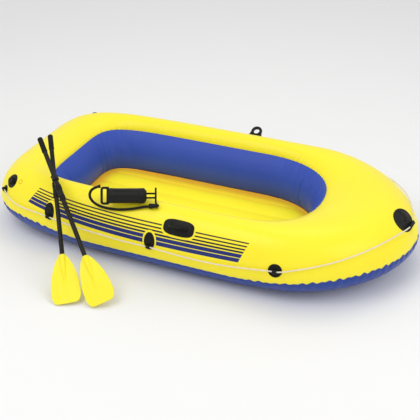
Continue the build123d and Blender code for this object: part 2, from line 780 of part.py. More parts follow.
with BuildPart() as hose:
    with BuildLine() as hose_route:
        FilletPolyline(*HOSE_POINTS, radius=bend_radii(HOSE_POINTS))
    with BuildSketch(Plane(origin=hose_route.line @ 0, z_dir=hose_route.line % 0)):
        Circle(HOSE_DIAMETER / 2)
    sweep()
write(hose, "pump_hose")
report_cord("hose", hose.part, hose_route.line, HOSE_DIAMETER)
print("hose radii", [round(radius) for radius in bend_radii(HOSE_POINTS)])

hose_end = Vector(*HOSE_POINTS[-1])
nozzle_way = (hose_end - Vector(*HOSE_POINTS[-2])).normalized()
nozzle_seat = Plane(origin=hose_end, z_dir=nozzle_way)
with BuildPart() as nozzle:
    with BuildSketch(nozzle_seat):
        Circle(NOZZLE_RADIUS)
    with BuildSketch(nozzle_seat.offset(NOZZLE_LENGTH)):
        Circle(NOZZLE_RADIUS * 0.72)
    loft()
write(nozzle, "hose_nozzle")

with BuildPart() as adapter:
    adapter_seat = Plane(origin=nozzle_seat.from_local_coords((0, 0, NOZZLE_LENGTH)), z_dir=nozzle_way)
    with BuildSketch(adapter_seat):
        Circle(16)
    extrude(amount=4)
    with BuildSketch(adapter_seat.offset(4)):
        Circle(7)
    extrude(amount=10)
write(adapter, "nozzle_adapter")
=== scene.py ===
"""Two-person inflatable boat: the visible model of its welded vinyl hull, air floor, rubber
fittings, grab lines, oars and hand pump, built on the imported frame."""

from math import asin, cos, degrees, exp, hypot, pi, radians, sin

import bmesh
import bpy
from bpy.props import FloatProperty, FloatVectorProperty, PointerProperty
from bpy.types import Operator, Panel, PropertyGroup
from mathutils import Matrix, Vector
from mathutils.bvhtree import BVHTree


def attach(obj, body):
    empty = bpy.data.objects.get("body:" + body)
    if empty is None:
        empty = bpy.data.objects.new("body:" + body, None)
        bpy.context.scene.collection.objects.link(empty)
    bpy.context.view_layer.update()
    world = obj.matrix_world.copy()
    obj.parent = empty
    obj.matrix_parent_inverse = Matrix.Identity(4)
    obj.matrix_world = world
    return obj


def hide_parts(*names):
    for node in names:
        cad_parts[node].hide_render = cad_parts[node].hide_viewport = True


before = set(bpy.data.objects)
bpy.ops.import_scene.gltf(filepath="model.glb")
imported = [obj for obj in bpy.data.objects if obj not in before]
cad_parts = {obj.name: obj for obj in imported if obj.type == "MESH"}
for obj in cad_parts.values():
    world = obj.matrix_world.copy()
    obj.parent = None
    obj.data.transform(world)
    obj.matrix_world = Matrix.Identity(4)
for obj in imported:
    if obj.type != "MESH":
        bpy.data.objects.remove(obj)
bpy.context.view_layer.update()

bl_info = {
    "name": "Inflatable rowing boat",
    "version": (1, 0, 0),
    "blender": (4, 5, 0),
    "location": "View3D > Sidebar > Boat",
    "description": "Builds a two-person inflatable boat with its oars and hand pump",
    "category": "Add Mesh",
}

# ---------------------------------------------------------------- the hull's sizes, in metres
HALF_LENGTH = 1.180
HALF_BEAM = 0.600
TUBE_HEIGHT = 0.372
LIMB_HEIGHT = 0.170
SEAM_HEIGHT, SEAM_CLIMB_BOW, SEAM_CLIMB_STERN = 0.105, 0.078, 0.047
FILM = 0.0012
BOW_CENTRE, BOW_POWER = 0.555, 1.84
STERN_CENTRE, STERN_POWER = 0.100, 4.7
COCKPIT_BOW_CENTRE, COCKPIT_BOW_REACH, COCKPIT_BOW_POWER = 0.190, 0.468, 2.28
COCKPIT_STERN_CENTRE, COCKPIT_STERN_REACH, COCKPIT_STERN_POWER = -0.062, 0.800, 5.8
COCKPIT_HALF_WIDTH = 0.394
EDGE_HEIGHT = 0.308
SPINE_BOW, SPINE_STERN = 0.250, -0.450
CREST_INSET, CREST_WIDENING, CREST_AT_WIDTH = 0.140, 0.35, 0.200
BOTTOM_SPREAD, BOTTOM_SPREAD_ENDS = 1.1, 0.38
EDGE_TURN = 70.0
WALL_BULGE, WALL_FOOT = 0.060, 0.047
FLOOR_HEIGHT, FLOOR_CHANNELS, CHANNEL_CROWN = 0.057, 6, 0.007
RING_HALF_COLUMNS = 430
ROPE_DIAMETER, ROPE_STANDOFF = 0.008, 0.012
PAD_THICKNESS, PAD_GAP = 0.0025, 0.0003
BOW_FITTING = (-2.5, 45.0)
BOW_BRIDGE_DROP, BOW_BRIDGE_HEIGHT = 0.046, 0.026
LUG_PAD, LUG_RISE = (0.060, 0.098), 0.028
PAD_RIM, PAD_CROWN = 0.10, 0.0010
LOOP_LENGTH = 0.022
OARLOCK_X, OARLOCK_TURN, OARLOCK_EYE = 0.061, 44, 0.050
VALVE_HEADING, VALVE_TURN, FLOOR_VALVE_X = 139.7, 44.4, -0.640
FINE_STEPS = 1200
SCALLOP_DEPTH, SCALLOP_PITCH = 0.0105, 0.045
# Places of the cockpit wall's upright welds, as travel round the outline from the bow's middle.
WALL_WELDS = (0.81, 2.66, 2.74)

# The printed stripes: each one's share down the print, and the bare film round the fittings as a
# middle and half sizes.
STRIPE_BANDS = (
    (0.0, 0.055), (0.145, 0.208), (0.288, 0.362), (0.425, 0.515), (0.565, 0.752), (0.786, 1.0),
)
STRIPE_MIDDLE = -0.09
BARE_PATCHES = (
    ((0.061, 0.560, 0.309), (0.094, 1.0, 0.047), 3.2),
    ((-0.690, 0.580, 0.243), (0.039, 1.0, 0.058), 2.2),
    ((-0.092, 0.590, 0.215), (0.039, 1.0, 0.059), 2.2),
)
MARK_PLACE = (-0.939, -0.493, 0.336)
MARK_RINGS = ((0.017, 0.0012), (0.009, 0.0010))

LIGHTS = (
    ("key_light", (-1.2, -2.6, 4.2), 3.0, 62.0),
    ("fill_light", (3.6, -1.0, 2.6), 2.4, 26.0),
    ("top_light", (0.4, 1.6, 4.6), 2.8, 30.0),
)
WORLD_STRENGTH = 0.72
CAMERA_TARGET = Vector((0, 0, 0.2))
CAMERA_BACK, CAMERA_RIGHT = Vector((0.33365, -0.79917, 0.5)), Vector((0.92281, 0.38526, 0))
CAMERA_DISTANCE, CAMERA_LENS, CAMERA_SHIFT = 4.858, 72.95, -0.0383

GRAB_LINE_STOPS = [
    (-0.450, -141.5, 0.2520), (-0.450, -137.0, 0.2290), (-0.450, -131.0, 0.2160),
    (-0.450, -124.5, 0.2180), (-0.450, -118.0, 0.2190), (-0.450, -113.5, 0.2140),
    (-0.450, -108.5, 0.2080), (-0.450, -101.0, 0.2020), (-0.450, -93.5, 0.1980),
    (-0.390, -90.0, 0.1940), (-0.290, -90.0, 0.1885), (-0.200, -90.0, 0.1860),
    (-0.092, -90.0, 0.1870), (0.005, -90.0, 0.1820), (0.105, -90.0, 0.1780),
    (0.205, -90.0, 0.1775), (0.250, -85.0, 0.1810), (0.250, -76.5, 0.1900),
    (0.250, -68.5, 0.2010), (0.250, -60.0, 0.2120), (0.250, -53.5, 0.2280),
    (0.250, -45.5, 0.2470), (0.250, -37.0, 0.2650), (0.250, -28.5, 0.2800),
    (0.250, -20.0, 0.2890), (0.250, -12.0, 0.2910),
]
PORT_LAST_STOP = (0.250, -4.0, 0.290)
AFT_LUG_STOP, MIDDLE_LUG_STOP, CLIP_STOP = 5, 12, 19
STRAIGHT_HALF = 0.022

OARS = {
    "front_oar": ((-0.187, -0.941, 0.030), (-0.818, -0.428, 0.595)),
    "rear_oar": ((-0.362, -0.996, 0.015), (-0.829, -0.310, 0.558)),
}
BLADE_FACING = Vector((0.334, -0.8, 0.5))
OAR_LENGTH, SHAFT_RADIUS = 0.990, 0.0125
BLADE_LENGTH, BLADE_HALF_WIDTH = 0.265, 0.076
SLEEVE_START, SLEEVE_LENGTH = 0.600, 0.090

PUMP_MIDDLE = Vector((-0.2503, -0.5233, 0.4125))
PUMP_HEADING, PUMP_LEAN = 22.66, 30.0
HOSE_POINTS = [
    (-0.3953, -0.5538, 0.4515), (-0.4133, -0.5648, 0.4475), (-0.4343, -0.5748, 0.4285),
    (-0.4423, -0.5778, 0.3945), (-0.4265, -0.5704, 0.3582), (-0.3902, -0.5622, 0.3368),
    (-0.3422, -0.5576, 0.3322), (-0.2907, -0.5548, 0.3360), (-0.2410, -0.5470, 0.3445),
    (-0.1958, -0.5360, 0.3552), (-0.1550, -0.5222, 0.3665), (-0.1240, -0.5163, 0.3735),
]


# ---------------------------------------------------------------- the hull's form
def superellipse(x, y, centre, reach, half_width, power):
    return (abs(x - centre) / reach) ** power + (abs(y) / half_width) ** power


def in_outline(x, y):
    if x > BOW_CENTRE:
        return superellipse(x, y, BOW_CENTRE, HALF_LENGTH - BOW_CENTRE, HALF_BEAM, BOW_POWER) < 1
    if x < STERN_CENTRE:
        return superellipse(x, y, STERN_CENTRE, HALF_LENGTH + STERN_CENTRE, HALF_BEAM, STERN_POWER) < 1
    return abs(y) < HALF_BEAM


def in_cockpit(x, y):
    if x > COCKPIT_BOW_CENTRE:
        return superellipse(
            x, y, COCKPIT_BOW_CENTRE, COCKPIT_BOW_REACH, COCKPIT_HALF_WIDTH, COCKPIT_BOW_POWER
        ) < 1
    if x < COCKPIT_STERN_CENTRE:
        return superellipse(
            x, y, COCKPIT_STERN_CENTRE, COCKPIT_STERN_REACH, COCKPIT_HALF_WIDTH, COCKPIT_STERN_POWER
        ) < 1
    return abs(y) < COCKPIT_HALF_WIDTH


def reach_of(inside, start, heading):
    low, high = 0.0, 2 * HALF_LENGTH
    for _ in range(40):
        middle = (low + high) / 2
        if inside(start + middle * cos(heading), middle * sin(heading)):
            low = middle
        else:
            high = middle
    return low


def smooth_step(low, high, value):
    share = min(max((value - low) / (high - low), 0.0), 1.0)
    return share * share * (3 - 2 * share)


class Station:
    """One upright section of the hull: start on the spine, heading outwards in degrees."""

    def __init__(self, start, heading):
        self.start = start
        self.heading = radians(heading)
        self.outer = reach_of(in_outline, start, self.heading)
        self.width = self.outer - reach_of(in_cockpit, start, self.heading)
        self.crest = CREST_INSET + CREST_WIDENING * (self.width - CREST_AT_WIDTH)
        bowward = cos(self.heading)
        self.seam = (
            SEAM_HEIGHT
            + SEAM_CLIMB_BOW * smooth_step(0.15, 1.05, bowward)
            + SEAM_CLIMB_STERN * smooth_step(0.1, 0.7, -bowward)
        )
        self.keel = self.crest * (BOTTOM_SPREAD + BOTTOM_SPREAD_ENDS * smooth_step(0.1, 0.6, abs(bowward)))
        self.along = 0.0
        self.curl = 0.0
        self.wall_curl = 0.0

    def mirrored(self):
        twin = object.__new__(Station)
        twin.__dict__.update(self.__dict__)
        twin.heading = -self.heading
        return twin

    def at(self, inset, height):
        reach = self.outer - inset
        return Vector(
            (self.start + reach * cos(self.heading), reach * sin(self.heading), height)
        )


def tube_span(station, turn):
    """The quarter oval that the tube follows at a turn: how far in it runs, and how high."""
    if turn > 0:
        return station.crest, TUBE_HEIGHT - LIMB_HEIGHT
    return station.keel, LIMB_HEIGHT


def tube_point(station, turn):
    reach, rise = tube_span(station, turn)
    return reach * (1 - cos(radians(turn))), LIMB_HEIGHT + rise * sin(radians(turn))


def tube_facing(station, turn):
    """The way out of the tube at a turn, outwards and upwards, at no set length."""
    reach, rise = tube_span(station, turn)
    return rise * cos(radians(turn)), reach * sin(radians(turn))


def deck_point(station, share):
    turn = radians(EDGE_TURN) * share
    inset = station.crest + (station.width - station.crest) * sin(turn) / sin(radians(EDGE_TURN))
    fall = (TUBE_HEIGHT - EDGE_HEIGHT) * (1 - cos(turn)) / (1 - cos(radians(EDGE_TURN)))
    return inset, TUBE_HEIGHT - fall


def wall_inset(station, drop):
    return station.width + 4 * WALL_BULGE * drop * (1 - drop) + WALL_FOOT * drop**2


def turn_at_height(height):
    span = TUBE_HEIGHT - LIMB_HEIGHT if height > LIMB_HEIGHT else LIMB_HEIGHT
    return degrees(asin((height - LIMB_HEIGHT) / span))


def hull_seat(start, heading, turn):
    """The frame of a fitting on the tube: x level and towards the bow, z outwards."""
    step = 0.5
    if abs(sin(radians(heading))) > 0.999:
        behind, ahead = Station(start - step / 1000, heading), Station(start + step / 1000, heading)
    else:
        behind, ahead = Station(start, heading - step), Station(start, heading + step)
    here = Station(start, heading)
    along = ahead.at(*tube_point(ahead, turn)) - behind.at(*tube_point(behind, turn))
    rise = here.at(*tube_point(here, turn + step)) - here.at(*tube_point(here, turn - step))
    if along.x < 0:
        along = -along
    outward = along.cross(rise).normalized()
    if outward.dot(Vector((cos(here.heading), sin(here.heading), 0))) < 0:
        outward = -outward
    return axes_at(here.at(*tube_point(here, turn)), along.normalized(), outward)


def axes_at(origin, x_dir, z_dir):
    x_dir, z_dir = Vector(x_dir).normalized(), Vector(z_dir).normalized()
    y_dir = z_dir.cross(x_dir)
    seat = Matrix((x_dir, y_dir, z_dir)).transposed().to_4x4()
    seat.translation = Vector(origin)
    return seat


def line_seat(stop, side):
    start, heading, height = PORT_LAST_STOP if stop == len(GRAB_LINE_STOPS) else GRAB_LINE_STOPS[stop]
    return hull_seat(start, -side * heading, turn_at_height(height))


def curls(points):
    """How sharply a closed line turns at each of its points, per metre."""
    count = len(points)
    turning = []
    for index in range(count):
        before = points[index] - points[index - 1]
        after = points[(index + 1) % count] - points[index]
        spacing = (before.length + after.length) / 2
        turning.append(abs(before.xy.angle_signed(after.xy, 0.0)) / max(spacing, 1e-6))
    reach = 6
    return [
        sum(turning[(index + shift) % count] for shift in range(-reach, reach + 1)) / (2 * reach + 1)
        for index in range(count)
    ]


def ring_station(share):
    """The station at a share of the way from the bow, 0, to the stern, 3: round, along, round."""
    if share <= 1:
        return Station(SPINE_BOW, 90 * share)
    if share <= 2:
        return Station(SPINE_BOW + (share - 1) * (SPINE_STERN - SPINE_BOW), 90)
    return Station(SPINE_STERN, 90 * (share - 1))


def hull_ring():
    """Stations round the hull, evenly spaced along its outline, the two sides alike."""
    fine = [ring_station(3 * step / FINE_STEPS) for step in range(FINE_STEPS + 1)]
    travel = [0.0]
    for before, after in zip(fine, fine[1:]):
        travel.append(travel[-1] + (after.at(0, 0) - before.at(0, 0)).length)
    half = []
    index = 0
    for column in range(RING_HALF_COLUMNS + 1):
        wanted = travel[-1] * column / RING_HALF_COLUMNS
        while index < FINE_STEPS - 1 and travel[index + 1] < wanted:
            index += 1
        share = (wanted - travel[index]) / (travel[index + 1] - travel[index])
        station = ring_station(3 * (index + min(max(share, 0), 1)) / FINE_STEPS)
        station.along = wanted
        half.append(station)
    ring = half + [station.mirrored() for station in reversed(half[1:-1])]
    for station, curl, wall_curl in zip(
        ring, curls([s.at(0, 0) for s in ring]), curls([s.at(s.width, 0) for s in ring])
    ):
        station.curl = smooth_step(0.7, 2.4, curl)
        station.wall_curl = smooth_step(0.8, 3.2, wall_curl)
    return ring


RING = hull_ring()


def pucker(along, pitch):
    """Uneven gathers along a weld, from -1 to 1."""
    return 0.6 * cos(2 * pi * along / pitch) + 0.4 * cos(2 * pi * along / (pitch * 1.47) + 1.3)


def seam_height(station):
    """The weld between the yellow and the blue film; it climbs at the bow and the stern."""
    frill = 0.15 + 0.75 * max(station.curl, smooth_step(0.05, 0.6, abs(cos(station.heading))))
    return station.seam + SCALLOP_DEPTH * frill * pucker(station.along, SCALLOP_PITCH)


# ---------------------------------------------------------------- small tools
def deselect():
    if bpy.context.object and bpy.context.object.mode != "OBJECT":
        bpy.ops.object.mode_set(mode="OBJECT")
    bpy.ops.object.select_all(action="DESELECT")


def activate(piece):
    deselect()
    piece.select_set(True)
    bpy.context.view_layer.objects.active = piece


def begin_edit(piece, mode="FACE"):
    activate(piece)
    bpy.ops.object.mode_set(mode="EDIT")
    bpy.ops.mesh.select_mode(type=mode)
    bpy.ops.mesh.select_all(action="DESELECT")


def end_edit():
    bpy.ops.object.mode_set(mode="OBJECT")


def pick_verts(piece, test):
    shape = bmesh.from_edit_mesh(piece.data)
    for vert in shape.verts:
        vert.select_set(bool(test(vert.co)))
    shape.select_flush_mode()
    bmesh.update_edit_mesh(piece.data)


def map_points(piece, layer, coords):
    """Gives each corner its point's place in a map."""
    uv = piece.data.uv_layers.new(name=layer)
    for loop in piece.data.loops:
        uv.data[loop.index].uv = coords[loop.vertex_index]


def mesh_piece(name, points, faces):
    mesh = bpy.data.meshes.new(name)
    mesh.from_pydata([tuple(point) for point in points], [], faces)
    mesh.update()
    piece = bpy.data.objects.new(name, mesh)
    bpy.context.scene.collection.objects.link(piece)
    return piece


def apply_modifier(piece, kind, **settings):
    activate(piece)
    modifier = piece.modifiers.new(kind.title(), kind)
    for key, value in settings.items():
        setattr(modifier, key, value)
    bpy.ops.object.modifier_apply(modifier=modifier.name)


def bevel_edges(piece, width, segments=2, angle=35):
    apply_modifier(
        piece, "BEVEL", width=width, segments=segments, limit_method="ANGLE",
        angle_limit=radians(angle), harden_normals=False,
    )


def thicken_film(piece, thickness):
    apply_modifier(piece, "SOLIDIFY", thickness=thickness, offset=-1, use_even_offset=False)


def close_doubles(piece, distance=0.00002, outwards=True):
    activate(piece)
    bpy.ops.object.mode_set(mode="EDIT")
    bpy.ops.mesh.select_all(action="SELECT")
    bpy.ops.mesh.remove_doubles(threshold=distance)
    if outwards:
        bpy.ops.mesh.normals_make_consistent(inside=False)
    bpy.ops.object.mode_set(mode="OBJECT")


def place(piece, seat):
    """Puts a finished shape at its seat, with its place in its mesh."""
    piece.matrix_world = seat
    activate(piece)
    bpy.ops.object.transform_apply(location=True, rotation=True, scale=True)


def join(pieces, name):
    activate(pieces[0])
    for piece in pieces[1:]:
        piece.select_set(True)
    bpy.ops.object.join()
    pieces[0].name = name
    pieces[0].data.name = name
    return pieces[0]


def finish_piece(piece, kind, body, nodes, angle=38):
    """Smooths a piece, gives it its material and its body, and hides the nodes it replaces."""
    activate(piece)
    bpy.ops.object.shade_smooth_by_angle(angle=radians(angle))
    piece.data.materials.clear()
    piece.data.materials.append(MATERIALS[kind])
    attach(piece, body)
    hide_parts(*nodes)


def turned(name, profile, steps=48):
    """A piece turned on a lathe about z: the profile is radius and height, from below upwards."""
    piece = mesh_piece(name, [(radius, 0, height) for radius, height in profile], [])
    piece.data.edges.add(len(profile) - 1)
    for index in range(len(profile) - 1):
        piece.data.edges[index].vertices = (index, index + 1)
    activate(piece)
    bpy.ops.object.mode_set(mode="EDIT")
    bpy.ops.mesh.select_all(action="SELECT")
    bpy.ops.mesh.spin(steps=steps, angle=2 * pi, center=(0, 0, 0), axis=(0, 0, 1))
    bpy.ops.object.mode_set(mode="OBJECT")
    close_doubles(piece)
    return piece


def block(name, size, centre, bevel=0.001, segments=2):
    """A moulded bar: a box at its size and place, with rounded edges."""
    deselect()
    bpy.ops.mesh.primitive_cube_add(size=1, location=(0, 0, 0))
    piece = bpy.context.object
    piece.name = piece.data.name = name
    piece.scale = size
    piece.location = centre
    bpy.ops.object.transform_apply(location=True, rotation=True, scale=True)
    bevel_edges(piece, bevel, segments)
    return piece


def moulded_pad(name, width, height, power=2.0):
    """A pad with a raised rim, turned as a disc and drawn out to its outline: power 2 is an oval,
    more is squarer. Its rings of edges let it follow the hull."""
    top, rim_top = PAD_THICKNESS, PAD_THICKNESS + PAD_CROWN
    pad = turned(name, [
        (0.0, 0.0), (0.5, 0.0), (1.0, 0.0), (1.0, 0.55 * top), (0.985, 0.9 * top), (0.965, rim_top),
        (1 - PAD_RIM * 0.8, rim_top), (1 - PAD_RIM, top),
        (0.78, top), (0.62, top), (0.46, top), (0.30, top), (0.15, top), (0.0, top),
    ], 64)
    for vert in pad.data.vertices:
        radius = hypot(vert.co.x, vert.co.y)
        if radius > 1e-6:
            way_x, way_y = vert.co.x / radius, vert.co.y / radius
            span = (abs(2 * way_x / width) ** power + abs(2 * way_y / height) ** power) ** (-1 / power)
            vert.co.x, vert.co.y = radius * span * way_x, radius * span * way_y
    return pad


def mould_to_hull(piece, seat, cast_from=0.15, share_at=None):
    """Bends a fitting's foot to the hull's curve, as soft rubber welded on it lies. share_at gives
    how much of the bend a point takes, by its distance from the middle."""
    films = bpy.data.objects["hull_top_film"].data
    tree = BVHTree.FromPolygons(
        [vert.co.copy() for vert in films.vertices], [tuple(face.vertices) for face in films.polygons]
    )
    normal = seat.to_3x3() @ Vector((0, 0, 1))
    back = seat.inverted()
    for vert in piece.data.vertices:
        local = back @ vert.co
        hit = tree.ray_cast(seat @ Vector((local.x, local.y, cast_from)), -normal, 0.4)[0]
        if hit is not None:
            share = share_at(hypot(local.x, local.y)) if share_at else 1.0
            vert.co += normal * (back @ hit).z * share


# ---------------------------------------------------------------- materials
class Nodes:
    """A short hand for wiring a material."""

    def __init__(self, name):
        self.material = bpy.data.materials.new(name)
        self.material.use_nodes = True
        self.tree = self.material.node_tree
        self.shader = self.tree.nodes["Principled BSDF"]
        self.coords = self.add("ShaderNodeTexCoord")

    def add(self, kind, **settings):
        node = self.tree.nodes.new(kind)
        for key, value in settings.items():
            setattr(node, key, value)
        return node

    def link(self, output, target):
        self.tree.links.new(output, target)

    def feed(self, socket, value):
        """Gives a socket a number, another socket's output or a colour."""
        if isinstance(value, (int, float)):
            socket.default_value = value
        elif isinstance(value, bpy.types.NodeSocket):
            self.link(value, socket)
        else:
            socket.default_value = (*value[:3], 1.0)

    def noise(self, scale, detail=3.0, vector=None, rough=0.5):
        node = self.add("ShaderNodeTexNoise")
        node.inputs["Scale"].default_value = scale
        node.inputs["Detail"].default_value = detail
        node.inputs["Roughness"].default_value = rough
        self.link(vector or self.coords.outputs["Object"], node.inputs["Vector"])
        return node.outputs["Fac"]

    def span(self, value, low, high, out_low=0.0, out_high=1.0):
        node = self.add("ShaderNodeMapRange", clamp=True)
        self.link(value, node.inputs["Value"])
        numbers = (("From Min", low), ("From Max", high), ("To Min", out_low), ("To Max", out_high))
        for socket, number in numbers:
            node.inputs[socket].default_value = number
        return node.outputs["Result"]

    def math(self, operation, first, second=0.0, clamp=False):
        node = self.add("ShaderNodeMath", operation=operation, use_clamp=clamp)
        self.feed(node.inputs[0], first)
        self.feed(node.inputs[1], second)
        return node.outputs[0]

    def mix(self, share, first, second):
        node = self.add("ShaderNodeMix", data_type="RGBA")
        for index, value in ((0, share), (6, first), (7, second)):
            self.feed(node.inputs[index], value)
        return node.outputs[2]

    def bump(self, height, strength, distance, normal=None):
        node = self.add("ShaderNodeBump")
        node.inputs["Strength"].default_value = strength
        node.inputs["Distance"].default_value = distance
        self.link(height, node.inputs["Height"])
        if normal is not None:
            self.link(normal, node.inputs["Normal"])
        return node.outputs["Normal"]

    def set(self, **values):
        for key, value in values.items():
            self.feed(self.shader.inputs[key.replace("_", " ")], value)

    def abs_y(self):
        """Object coordinates with the port side folded onto the starboard side."""
        apart = self.add("ShaderNodeSeparateXYZ")
        self.link(self.coords.outputs["Object"], apart.inputs[0])
        together = self.add("ShaderNodeCombineXYZ")
        self.link(apart.outputs["X"], together.inputs["X"])
        self.link(self.math("ABSOLUTE", apart.outputs["Y"]), together.inputs["Y"])
        self.link(apart.outputs["Z"], together.inputs["Z"])
        return together.outputs[0]


def film_material(name, colour, deep, roughness=0.33, gloss=0.26, painted_glow=0.0):
    """Welded vinyl film: soft gloss, fine emboss, slow unevenness, darker where it lies thicker."""
    nodes = Nodes(name)
    slow = nodes.noise(2.2, 2.0)
    fine = nodes.noise(38.0, 4.0)
    share = nodes.math("MULTIPLY", nodes.span(slow, 0.35, 0.75), 0.30)
    share = nodes.math("ADD", share, nodes.span(fine, 0.45, 0.9, 0.0, 0.10), clamp=True)
    base = nodes.mix(share, colour, deep)
    grain = nodes.add("ShaderNodeTexVoronoi", feature="F1")
    grain.inputs["Scale"].default_value = 520.0
    nodes.link(nodes.coords.outputs["Object"], grain.inputs["Vector"])
    normal = nodes.bump(grain.outputs["Distance"], 0.05, 0.0004)
    normal = nodes.bump(nodes.noise(4.5, 1.0), 0.12, 0.010, normal)
    rough = nodes.span(nodes.noise(11.0), 0.3, 0.7, roughness - 0.05, roughness + 0.07)
    nodes.set(Normal=normal, Roughness=rough)
    nodes.shader.inputs["Coat Weight"].default_value = 0.06
    nodes.shader.inputs["Coat Roughness"].default_value = 0.20
    nodes.shader.inputs["Specular IOR Level"].default_value = gloss
    if painted_glow:
        # Painted glow: an emission in the film's own colour stands in for light that reaches the thin film
        # from below and comes through it.
        nodes.link(base, nodes.shader.inputs["Emission Color"])
        nodes.shader.inputs["Emission Strength"].default_value = painted_glow
    return nodes, base


def top_film_material(colours):
    nodes, base = film_material("yellow_vinyl_film", colours.yellow, colours.yellow_deep)
    print_map = nodes.add("ShaderNodeUVMap", uv_map="stripes")
    apart = nodes.add("ShaderNodeSeparateXYZ")
    nodes.link(print_map.outputs["UV"], apart.inputs[0])
    along, down = apart.outputs["X"], apart.outputs["Y"]
    lines = None
    for top, bottom in STRIPE_BANDS:
        middle, half = (top + bottom) / 2, (bottom - top) / 2
        gap = nodes.math("ABSOLUTE", nodes.math("SUBTRACT", down, middle))
        line = nodes.span(gap, half - 0.006, half + 0.006, 1.0, 0.0)
        lines = line if lines is None else nodes.math("MAXIMUM", lines, line)
    begun, ended = nodes.span(along, 0.0, 0.003), nodes.span(along, 0.997, 1.0, 1.0, 0.0)
    inside = nodes.math("MULTIPLY", begun, ended)
    lines = nodes.math("MULTIPLY", lines, inside)
    folded = nodes.abs_y()
    # Bare film is left round the oarlock pad and the two lugs.
    for centre, half_sizes, power in BARE_PATCHES:
        shifted = nodes.add("ShaderNodeVectorMath", operation="SUBTRACT")
        nodes.link(folded, shifted.inputs[0])
        shifted.inputs[1].default_value = centre
        scaled = nodes.add("ShaderNodeVectorMath", operation="DIVIDE")
        nodes.link(shifted.outputs[0], scaled.inputs[0])
        scaled.inputs[1].default_value = half_sizes
        parts = nodes.add("ShaderNodeSeparateXYZ")
        nodes.link(scaled.outputs[0], parts.inputs[0])
        total = nodes.math(
            "ADD",
            nodes.math("POWER", nodes.math("ABSOLUTE", parts.outputs["X"]), power),
            nodes.math("POWER", nodes.math("ABSOLUTE", parts.outputs["Z"]), power),
        )
        lines = nodes.math("MULTIPLY", lines, nodes.span(total, 0.97, 1.03))
    ink = nodes.mix(nodes.span(down, 0.45, 0.62), colours.thin_ink, colours.wide_ink)
    base = nodes.mix(lines, base, ink)
    # A small moulding mark beside the stern valve: two printed rings.
    mark = nodes.add("ShaderNodeVectorMath", operation="DISTANCE")
    nodes.link(nodes.coords.outputs["Object"], mark.inputs[0])
    mark.inputs[1].default_value = MARK_PLACE
    rings = []
    for radius, half_line in MARK_RINGS:
        gap = nodes.math("ABSOLUTE", nodes.math("SUBTRACT", mark.outputs["Value"], radius))
        rings.append(nodes.span(gap, half_line, half_line + 0.0010, 1.0, 0.0))
    printed = nodes.math("MULTIPLY", nodes.math("MAXIMUM", *rings), 0.75)
    base = nodes.mix(printed, base, colours.mark_ink)
    nodes.set(Base_Color=base)
    return nodes.material


def plain_film_material(name, colour, deep, roughness=0.33, gloss=0.26, painted_glow=0.0):
    nodes, base = film_material(name, colour, deep, roughness, gloss, painted_glow)
    nodes.set(Base_Color=base)
    return nodes.material


def floor_film_material(colours):
    """The floor's yellow film with a weak painted glow and painted shade: warmer in its valleys and along
    the wall.
    """
    nodes, base = film_material(
        "floor_vinyl_film", colours.yellow, colours.yellow_deep, 0.38, 0.16, 0.14
    )
    # Painted shade: the film is mixed towards the orange shade colour in the channel valleys and beside the
    # wall, as the hollow attribute gives.
    depth = nodes.add("ShaderNodeAttribute", attribute_name="hollow")
    uneven = nodes.span(nodes.noise(9.0), 0.4, 0.8, 0.0, 0.15)
    share = nodes.math("ADD", depth.outputs["Fac"], uneven, clamp=True)
    share = nodes.math("MULTIPLY", share, depth.outputs["Fac"])
    base = nodes.mix(share, base, colours.painted_floor_shade)
    nodes.set(Base_Color=base)
    return nodes.material


def moulded_material(name, colour, light, roughness=0.45, grain=260.0, grain_depth=0.12):
    """Moulded plastic or rubber: fine grain, scuffs and a little dust."""
    nodes = Nodes(name)
    scuff = nodes.noise(46.0, 6.0, rough=0.7)
    slow = nodes.noise(6.0, 2.0)
    share = nodes.math(
        "ADD", nodes.span(scuff, 0.60, 0.78, 0.0, 0.32), nodes.span(slow, 0.4, 0.8, 0.0, 0.22), clamp=True
    )
    nodes.set(Base_Color=nodes.mix(share, colour, light))
    nodes.set(Roughness=nodes.span(nodes.noise(22.0), 0.3, 0.7, roughness - 0.08, roughness + 0.10))
    nodes.set(Normal=nodes.bump(nodes.noise(grain, 3.0), grain_depth, 0.0008))
    nodes.shader.inputs["Specular IOR Level"].default_value = 0.20
    return nodes.material


def rope_material(colours):
    """White laid rope: slightly fuzzy, with painted shade that makes it greyer between the yarns."""
    nodes = Nodes("white_rope_yarn")
    yarn_map = nodes.add("ShaderNodeUVMap", uv_map="yarn")
    wave = nodes.add("ShaderNodeTexWave", wave_type="BANDS", bands_direction="DIAGONAL")
    wave.inputs["Scale"].default_value = 1.6
    wave.inputs["Distortion"].default_value = 1.2
    nodes.link(yarn_map.outputs["UV"], wave.inputs["Vector"])
    dirt = nodes.noise(60.0, 4.0)
    # Painted shade: greyer in the low bands of the yarn pattern, the grooves between the yarns; the second
    # noise adds dirt.
    between, soiled = (
        nodes.span(wave.outputs["Fac"], 0.0, 1.0, 0.35, 0.0), nodes.span(dirt, 0.45, 0.8, 0.0, 0.2)
    )
    share = nodes.math("ADD", between, soiled, clamp=True)
    nodes.set(Base_Color=nodes.mix(share, colours.rope, colours.painted_rope_shade))
    nodes.set(Roughness=0.72)
    nodes.shader.inputs["Sheen Weight"].default_value = 0.25
    nodes.set(Normal=nodes.bump(wave.outputs["Fac"], 0.5, 0.0008))
    return nodes.material


MATERIALS = {}


